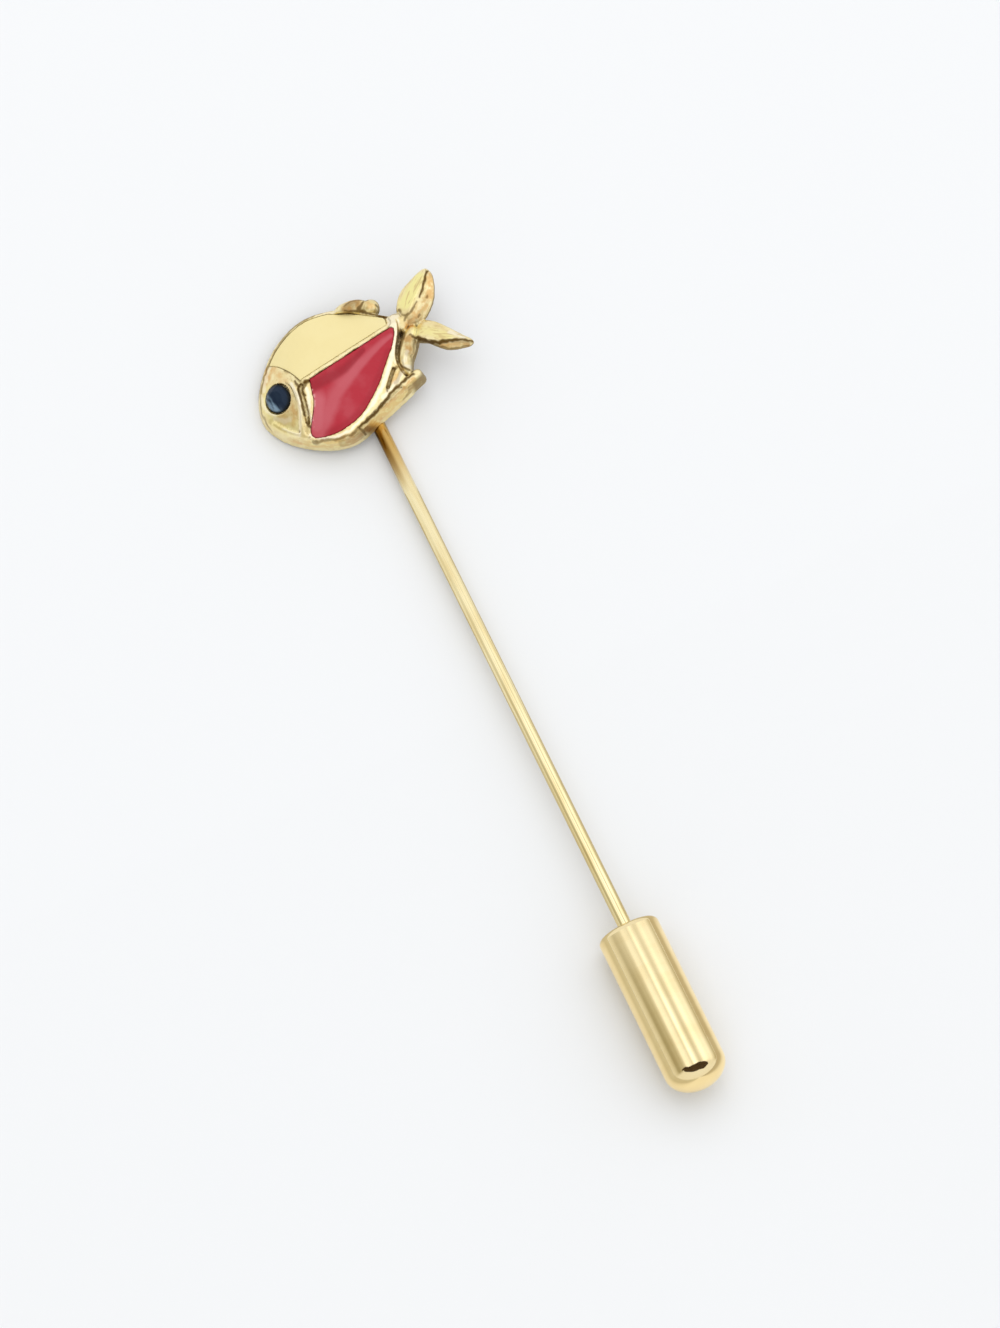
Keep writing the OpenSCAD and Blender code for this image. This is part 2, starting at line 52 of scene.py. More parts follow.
def linear(code: str) -> tuple:
    """Turns an sRGB hex colour to linear RGBA.

    Args:
        code: the colour as "#rrggbb".

    Returns:
        Four floats, alpha 1.
    """
    shares = [int(code[k:k + 2], 16) / 255 for k in (1, 3, 5)]
    return tuple(s / 12.92 if s <= 0.04045 else ((s + 0.055) / 1.055) ** 2.4 for s in shares) + (1.0,)


def deselect_all() -> None:
    """Leaves object mode with nothing selected."""
    bpy.ops.object.select_all(action="DESELECT")


def activate(obj: Object) -> None:
    """Makes obj the one selected and active object."""
    deselect_all()
    obj.select_set(True)
    bpy.context.view_layer.objects.active = obj


def apply_modifier(obj: Object, kind: str, **settings: object) -> None:
    """Adds a modifier and applies it.

    Args:
        obj: the mesh object.
        kind: the modifier's type, such as "REMESH".
        settings: its properties by name.
    """
    activate(obj)
    modifier = obj.modifiers.new(kind.lower(), kind)
    for name, value in settings.items():
        setattr(modifier, name, value)
    bpy.ops.object.modifier_apply(modifier=modifier.name)


def add_node(tree: NodeTree, kind: str, inputs: dict | None = None,
             **settings: object) -> Node:
    """Adds a node with its settings and links.

    Args:
        tree: the material's or world's node tree.
        kind: the node's type name.
        inputs: values or sockets to link, by input name or index.
        settings: the node's own properties.

    Returns:
        The node.
    """
    node = tree.nodes.new(kind)
    for name, value in settings.items():
        setattr(node, name, value)
    for key, value in (inputs or {}).items():
        if isinstance(value, NodeSocket):
            tree.links.new(value, node.inputs[key])
        else:
            node.inputs[key].default_value = value
    return node


def blend_colours(tree: NodeTree, share: object, first: object,
                  second: object) -> NodeSocket:
    """Mixes two colours, each a value or a socket, by a share from 0 to 1."""
    node = add_node(tree, "ShaderNodeMix", {0: share, 6: first, 7: second}, data_type="RGBA")
    return node.outputs[2]


def ramp(tree: NodeTree, share: NodeSocket, low: float,
         high: float) -> NodeSocket:
    """Stretches the part of a value between low and high to 0..1, clamped and eased."""
    node = add_node(tree, "ShaderNodeMapRange", {0: share, 1: low, 2: high}, interpolation_type="SMOOTHSTEP")
    return node.outputs[0]


def spread(tree: NodeTree, share: NodeSocket, low: float,
           high: float) -> NodeSocket:
    """Spreads a value from 0..1 to low..high."""
    return add_node(tree, "ShaderNodeMapRange", {0: share, 3: low, 4: high}).outputs[0]


def reckon(tree: NodeTree, operation: str, *values: object) -> NodeSocket:
    """The result of a Math node for one or two values or sockets."""
    return add_node(tree, "ShaderNodeMath", dict(enumerate(values)), operation=operation).outputs[0]


def scaled(tree: NodeTree, value: NodeSocket, factor: object) -> NodeSocket:
    """Multiplies a value by a factor or by another socket."""
    return reckon(tree, "MULTIPLY", value, factor)


def noise(tree: NodeTree, grain: float, detail: float = 3.0, stretch: tuple = (1, 1, 1),
          turn: float = 0.0) -> NodeSocket:
    """Object-space noise.

    Args:
        tree: the node tree.
        grain: size of the pattern's patches in millimetres.
        detail: octaves.
        stretch: how much longer the patches are along each of the turned axes.
        turn: turn of those axes about Z in degrees.

    Returns:
        The pattern's value socket.
    """
    place = add_node(tree, "ShaderNodeTexCoord").outputs["Object"]
    mapping = add_node(tree, "ShaderNodeMapping", {
        "Vector": place, "Rotation": (0, 0, math.radians(turn)), "Scale": stretch}, vector_type="TEXTURE")
    return add_node(tree, "ShaderNodeTexNoise", {
        "Vector": mapping.outputs[0], "Scale": 1 / (grain * MM), "Detail": detail}).outputs["Fac"]


def new_material(name: str) -> tuple:
    """A material with an empty tree but for its output and shader.

    Args:
        name: the material's name.

    Returns:
        The material, its node tree and its Principled node.
    """
    material = bpy.data.materials.new(name)
    material.use_nodes = True
    tree = material.node_tree
    tree.nodes.clear()
    shader = add_node(tree, "ShaderNodeBsdfPrincipled")
    add_node(tree, "ShaderNodeOutputMaterial", {"Surface": shader.outputs[0]})
    return material, tree, shader


def dress(obj: Object, material: Material) -> None:
    """Puts one material on all of a piece."""
    obj.data.materials.clear()
    obj.data.materials.append(material)


def dress_node(node: Object, material: Material) -> None:
    """Gives a CAD node a finish in each of its slots, its mesh left alone."""
    if not node.material_slots:
        node.data.materials.append(material)
    for slot in node.material_slots:
        slot.material = material


# The pin's own axes

@dataclass(frozen=True)
class Lay:
    """How the pin lies: its wire's pitch, the casting's roll and the wire's upper end (degrees, mm).

    wire_end is that end in the row frame, and wire_in_casting the same point in the casting's own axes.
    """

    pitch: float = 2.10909
    roll: float = 6.86288
    wire_end: tuple = (-0.626865, 31.5212, 0.549627)
    wire_in_casting: tuple = (8.184, 7.8, -0.35)

    def wire_axes(self) -> Matrix:
        """From the wire's axes, in mm, to the row frame, in metres. The wire runs along -y."""
        pitched = Matrix.Rotation(math.radians(-self.pitch), 4, "X")
        rolled = Matrix.Rotation(math.radians(-self.roll), 4, "Y")
        return Matrix.Diagonal((MM, MM, MM, 1)) @ Matrix.Translation(self.wire_end) @ pitched @ rolled

    def casting_axes(self) -> Matrix:
        """From the casting's axes, in mm, to the row frame, in metres."""
        return self.wire_axes() @ Matrix.Translation(-Vector(self.wire_in_casting))

    def to_casting(self, points: np.ndarray) -> np.ndarray:
        """Turns points of the row frame, in metres, to the casting's axes, in mm."""
        inverse = np.array(self.casting_axes().inverted())
        return points @ inverse[:3, :3].T + inverse[:3, 3]

    def directions(self, normals: np.ndarray) -> np.ndarray:
        """Turns directions of the row frame to the casting's axes."""
        turn = np.array(self.casting_axes().inverted().to_3x3()) * MM
        return normals @ turn.T


LAY = Lay()


def mesh_points(mesh: Mesh) -> np.ndarray:
    """The mesh's vertices as rows of x, y, z."""
    values = np.empty(len(mesh.vertices) * 3, np.float64)
    mesh.vertices.foreach_get("co", values)
    return values.reshape(-1, 3)


def mesh_normals(mesh: Mesh) -> np.ndarray:
    """The vertices' normals as rows of x, y, z."""
    values = np.empty(len(mesh.vertices) * 3, np.float32)
    mesh.vertex_normals.foreach_get("vector", values)
    return values.reshape(-1, 3).astype(np.float64)


def smoothed(mesh: Mesh, points: np.ndarray, rounds: int) -> np.ndarray:
    """The points after some rounds of averaging over the mesh's edges."""
    ends = np.empty(len(mesh.edges) * 2, np.int32)
    mesh.edges.foreach_get("vertices", ends)
    a, b = ends[0::2], ends[1::2]
    count = np.maximum(np.bincount(np.concatenate([a, b]), minlength=len(points)), 1)
    for _ in range(rounds):
        sums = [np.bincount(a, points[b, k], len(points)) + np.bincount(b, points[a, k], len(points))
                for k in range(points.shape[1])]
        points = 0.5 * points + 0.5 * np.stack(sums, 1) / count[:, None]
    return points


def line_distance(points: np.ndarray, line: tuple) -> tuple:
    """How far points lie from a line of straight runs, in the plane of x and y.

    Args:
        points: the points' places.
        line: the line's own points, in order.

    Returns:
        Each point's distance, the share of the line's length at its nearest place, and whether it lies on
        the line's right.
    """
    ends = np.array(line, float)
    lengths = np.linalg.norm(np.diff(ends, axis=0), axis=1)
    starts = np.concatenate([[0], np.cumsum(lengths)])
    best = np.full(len(points), np.inf)
    share = np.zeros(len(points))
    right = np.zeros(len(points), bool)
    for k, (p, q) in enumerate(zip(ends[:-1], ends[1:])):
        run = q - p
        off = points - p
        along = np.clip(off @ run / max(run @ run, 1e-9), 0, 1)
        apart = np.linalg.norm(off - along[:, None] * run, axis=1)
        nearer = apart < best
        best = np.where(nearer, apart, best)
        share = np.where(nearer, (starts[k] + along * lengths[k]) / starts[-1], share)
        right = np.where(nearer, run[0] * off[:, 1] < run[1] * off[:, 0], right)
    return best, share, right


def soft_step(values: np.ndarray, low: float, high: float) -> np.ndarray:
    """An eased step from 0 at low to 1 at high."""
    t = np.clip((values - low) / (high - low), 0, 1)
    return t * t * (3 - 2 * t)


def wobbled(points: np.ndarray, grain: float, reach: float) -> np.ndarray:
    """The points, each pushed aside in the plane by up to about reach, in patches of the grain's size."""
    seed_set(WOBBLE_SEED)
    moved = points.copy()
    for k, point in enumerate(points):
        push = noise_vector(Vector((point[0] / grain, point[1] / grain, 0)))
        moved[k, 0] += push[0] * reach
        moved[k, 1] += push[1] * reach
    return moved


def write_channel(mesh: Mesh, name: str, values: np.ndarray) -> None:
    """Stores one value a vertex under a name that a material reads."""
    mesh.attributes.new(name, "FLOAT", "POINT").data.foreach_set("value", values.astype(np.float32))


def channel(tree: NodeTree, name: str) -> NodeSocket:
    """Reads a value that write_channel stored."""
    return add_node(tree, "ShaderNodeAttribute", attribute_name=name).outputs["Fac"]


# Finishes

@dataclass(frozen=True)
class CastGold:
    """Gold-plated brass, cast and tumbled, with painted highlights and painted shade in its creases. Sizes
    are in millimetres.
    """

    name: str = "gold_plated_cast_brass"
    gold: str = "#eedaa0"
    bright: str = "#f8eab8"
    dull: str = "#dcc48a"
    # pale and lemon are painted highlights, tan is a warm tone that also paints shaded facets, dark is
    # painted shade
    pale: str = "#fff5da"
    tan: str = "#e0b372"
    lemon: str = "#f8efa4"
    dark: str = "#6e5224"
    patch: float = 1.1
    grain: float = 0.3
    mottle: float = 0.5
    rib_w: float = 0.16
    rib_stretch: float = 9.0
    rib_turns: tuple = (40, -35)
    rib_strength: float = 0.8
    rough_low: float = 0.3
    rough_high: float = 0.42
    dark_rough: float = 0.3
    skin_grain: float = 0.35
    skin_strength: float = 0.4
    skin_depth: float = 0.05

    def make(self) -> Material:
        """Builds the material, which reads the piece's channels of painted shade, painted highlights, tan
        tone and ribs.

        Returns:
            The material.
        """
        material, tree, shader = new_material(self.name)
        patches = noise(tree, self.patch, 4)
        grains = noise(tree, self.grain, 3)
        # Plating worn unevenly: brighter and duller patches a millimetre across, and a finer mottle
        colour = blend_colours(tree, ramp(tree, patches, 0.32, 0.6), linear(self.gold), linear(self.bright))
        fine = scaled(tree, ramp(tree, grains, 0.5, 0.75), 0.7)
        colour = blend_colours(tree, fine, colour, linear(self.dull))
        # Tan tone, which also paints the shade of shaded facets, then painted lemon and pale highlights
        tan_tone_and_shade = scaled(tree, channel(tree, "tan"), ramp(tree, noise(tree, self.mottle, 3), 0.3, 0.6))
        colour = blend_colours(tree, tan_tone_and_shade, colour, linear(self.tan))
        colour = blend_colours(tree, channel(tree, "lemon"), colour, linear(self.lemon))
        colour = blend_colours(tree, channel(tree, "pale"), colour, linear(self.pale))
        # Fine ribs along each fluke, engraved and left dull
        for name, turn in zip(("upper_ribs", "lower_ribs"), self.rib_turns):
            lines = ramp(tree, noise(tree, self.rib_w, 2, (self.rib_stretch, 1, 1), turn), 0.52, 0.66)
            ribs = scaled(tree, scaled(tree, lines, channel(tree, name)), self.rib_strength)
            colour = blend_colours(tree, ribs, colour, linear(self.dull))
        # Painted shade that stays in the creases, hollows and steep sides, patchy where the cast skin breaks
        # it up
        crease_shade = scaled(tree, channel(tree, "dark"), ramp(tree, grains, 0.05, 0.45))
        colour = blend_colours(tree, crease_shade, colour, linear(self.dark))
        tree.links.new(colour, shader.inputs["Base Color"])
        shader.inputs["Metallic"].default_value = 1.0
        rough = spread(tree, patches, self.rough_low, self.rough_high)
        rough = reckon(tree, "ADD", scaled(tree, crease_shade, self.dark_rough), rough)
        tree.links.new(rough, shader.inputs["Roughness"])
        skin = add_node(tree, "ShaderNodeBump", {
            "Height": noise(tree, self.skin_grain, 4), "Strength": self.skin_strength,
            "Distance": self.skin_depth * MM})
        tree.links.new(skin.outputs[0], shader.inputs["Normal"])
        return material


@dataclass(frozen=True)
class PolishedPlate:
    """Pale gold plate on drawn or turned brass, polished on a wheel."""

    name: str
    colour: str
    second: str
    rough: float
    haze: float = 3.0
    haze_rough: float = 1.6

    def make(self) -> Material:
        """Builds the material.

        Returns:
            The material.
        """
        material, tree, shader = new_material(self.name)
        # Handling leaves a faint haze: wide soft patches a few millimetres long
        haze = noise(tree, self.haze, 3, (1, 0.4, 1))
        colour = blend_colours(tree, ramp(tree, haze, 0.35, 0.7), linear(self.colour), linear(self.second))
        tree.links.new(colour, shader.inputs["Base Color"])
        shader.inputs["Metallic"].default_value = 1.0
        rough = spread(tree, haze, self.rough, self.rough * self.haze_rough)
        tree.links.new(rough, shader.inputs["Roughness"])
        return material


@dataclass(frozen=True)
class DrawnWire:
    """Gold-plated drawn wire, with brown painted shade on it next to the casting.

    The painted shade fades between tint_from and tint_to along y, and axis_x is the wire's own x (mm).
    """

    name: str = "gold_plated_drawn_wire"
    colour: str = "#f8eabb"
    second: str = "#efdca6"
    half_shade: str = "#cfa860"
    tint: str = "#7d571c"
    tint_from: float = 23.2
    tint_to: float = 17.8
    axis_x: float = -0.63
    shaded_side_from: float = 0.1
    shaded_side_to: float = -0.25
    grain: float = 0.5
    grain_stretch: float = 8.0
    rough: float = 0.14

    def make(self) -> Material:
        """Builds the material.

        Returns:
            The material.
        """
        material, tree, shader = new_material(self.name)
        drawn = noise(tree, self.grain, 3, (1, self.grain_stretch, 1))
        colour = blend_colours(tree, ramp(tree, drawn, 0.35, 0.7), linear(self.colour), linear(self.second))
        place = add_node(tree, "ShaderNodeTexCoord").outputs["Object"]
        across, along, _ = add_node(tree, "ShaderNodeSeparateXYZ", {0: place}).outputs
        # Painted shade: browner next to the casting
        near_casting_shade = ramp(tree, along, self.tint_to * MM, self.tint_from * MM)
        colour = blend_colours(tree, near_casting_shade, colour, linear(self.half_shade))
        # Painted shade: one side of the wire is browner next to the casting
        shaded_side = ramp(tree, across, (self.axis_x + self.shaded_side_from) * MM, (self.axis_x + self.shaded_side_to) * MM)
        colour = blend_colours(tree, scaled(tree, near_casting_shade, shaded_side), colour, linear(self.tint))
        tree.links.new(colour, shader.inputs["Base Color"])
        shader.inputs["Metallic"].default_value = 1.0
        shader.inputs["Roughness"].default_value = self.rough
        return material


@dataclass(frozen=True)
class HardEnamel:
    """Opaque glass enamel, fired in its cell and ground flush, which gives an even colour and a low gloss."""

    name: str
    colour: str
    # light also paints the reflection streak; deep and edge are colours of painted shade
    light: str
    deep: str
    edge: str
    bubble: str
    cloud: float = 1.6
    bubble_w: float = 0.22
    wave: float = 1.8
    rough: float = 0.3
    index: float = 1.52
    gloss: float = 0.25

    def make(self) -> Material:
        """Builds the material, which reads the piece's channels of painted reflection, painted shade and
        bubbles.

        Returns:
            The material.
        """
        material, tree, shader = new_material(self.name)
        clouds = scaled(tree, ramp(tree, noise(tree, self.cloud, 3), 0.4, 0.7), 0.25)
        colour = blend_colours(tree, clouds, linear(self.colour), linear(self.light))
        # Painted reflection streak, painted deeper shade and painted shade along the border
        colour = blend_colours(tree, channel(tree, "light"), colour, linear(self.light))
        colour = blend_colours(tree, channel(tree, "deep"), colour, linear(self.deep))
        colour = blend_colours(tree, channel(tree, "edge"), colour, linear(self.edge))
        # Small bubbles burst at the rim
        bubbles = scaled(tree, channel(tree, "bubble"), ramp(tree, noise(tree, self.bubble_w, 2), 0.45, 0.6))
        colour = blend_colours(tree, bubbles, colour, linear(self.bubble))
        tree.links.new(colour, shader.inputs["Base Color"])
        shader.inputs["Roughness"].default_value = self.rough
        shader.inputs["IOR"].default_value = self.index
        shader.inputs["Specular IOR Level"].default_value = self.gloss
        waves = add_node(tree, "ShaderNodeBump", {
            "Height": noise(tree, self.wave, 2), "Strength": 0.15, "Distance": 0.05 * MM})
        tree.links.new(waves.outputs[0], shader.inputs["Normal"])
        return material


@dataclass(frozen=True)
class DarkStone:
    """Dark blue glass stone, cut and polished, with painted light on its left side and a painted shadow round
    it.
    """

    centre: tuple
    name: str = "dark_blue_cut_glass"
    deep: str = "#08182e"
    lit: str = "#7b94a8"
    # colour of the painted shadow round the stone
    ring: str = "#0c1010"
    radius: float = 1.15
    lit_side: tuple = (-0.95, -0.3, 0)
    lit_from: float = 0.25
    lit_to: float = 0.7
    streak: float = 0.8
    rough: float = 0.15
    index: float = 1.55
    gloss: float = 0.12

    def make(self) -> Material:
        """Builds the material round the stone's own centre.

        Returns:
            The material.
        """
        material, tree, shader = new_material(self.name)
        place = add_node(tree, "ShaderNodeTexCoord").outputs["Object"]
        own = add_node(tree, "ShaderNodeVectorMath", {0: place, 1: self.centre}, operation="SUBTRACT")
        own = own.outputs[0]
        side = add_node(tree, "ShaderNodeVectorMath", {0: own, 1: self.lit_side}, operation="DOT_PRODUCT")
        far = add_node(tree, "ShaderNodeVectorMath", {0: own}, operation="LENGTH").outputs["Value"]
        streaks = noise(tree, self.streak, 2, (0.4, 1.6, 1), 10)
        # Painted light on the stone's left side, in streaks
        lit = ramp(tree, side.outputs["Value"], self.lit_from * MM, self.lit_to * MM)
        lit = scaled(tree, lit, ramp(tree, streaks, 0.3, 0.6))
        lit = reckon(tree, "ADD", lit, scaled(tree, streaks, 0.08))
        colour = blend_colours(tree, lit, linear(self.deep), linear(self.lit))
        # Painted shadow round the stone's outer part, where its setting shades it
        socket_shadow = ramp(tree, far, 0.78 * self.radius * MM, 0.96 * self.radius * MM)
        colour = blend_colours(tree, socket_shadow, colour, linear(self.ring))
        tree.links.new(colour, shader.inputs["Base Color"])
        shader.inputs["Roughness"].default_value = self.rough
        shader.inputs["IOR"].default_value = self.index
        shader.inputs["Specular IOR Level"].default_value = self.gloss
        return material


# Pieces

class Channel(Enum):
    """What a stroke does to its piece's colour. The value is the name that the material reads."""

    # Painted shade
    DARK = "dark"
    # Painted highlight
    PALE = "pale"
    # Warm tone, and painted shade on shaded facets
    TAN = "tan"
    # Painted lemon-coloured highlight
    LEMON = "lemon"
    # Painted reflection on the enamel
    LIGHT = "light"
    # Painted deeper shade on the enamel
    DEEP = "deep"
    BUBBLE = "bubble"


@dataclass(frozen=True)
class Stroke:
    """A painted line: its width at its two ends, its strength and its points, in the casting's mm."""

    channel: Channel
    start: float
    end: float
    strength: float
    line: tuple
    soft_left: float = 1.0

    def reach(self, points: np.ndarray) -> np.ndarray:
        """How strongly the stroke covers each point, from 0 to its strength."""
        apart, share, right = line_distance(points, self.line)
        half = 0.5 * (self.start + (self.end - self.start) * share)
        fade = np.where(right, 1.0, self.soft_left)
        return self.strength * (1 - soft_step(apart / half, 1 - 0.5 * fade, 1 + 0.5 * fade))


def paint(points: np.ndarray, strokes: tuple, wanted: Channel) -> np.ndarray:
    """The strongest reach of the wanted channel's strokes at each point."""
    values = np.zeros(len(points))
    for stroke in strokes:
        if stroke.channel is wanted:
            values = np.maximum(values, stroke.reach(points))
    return values


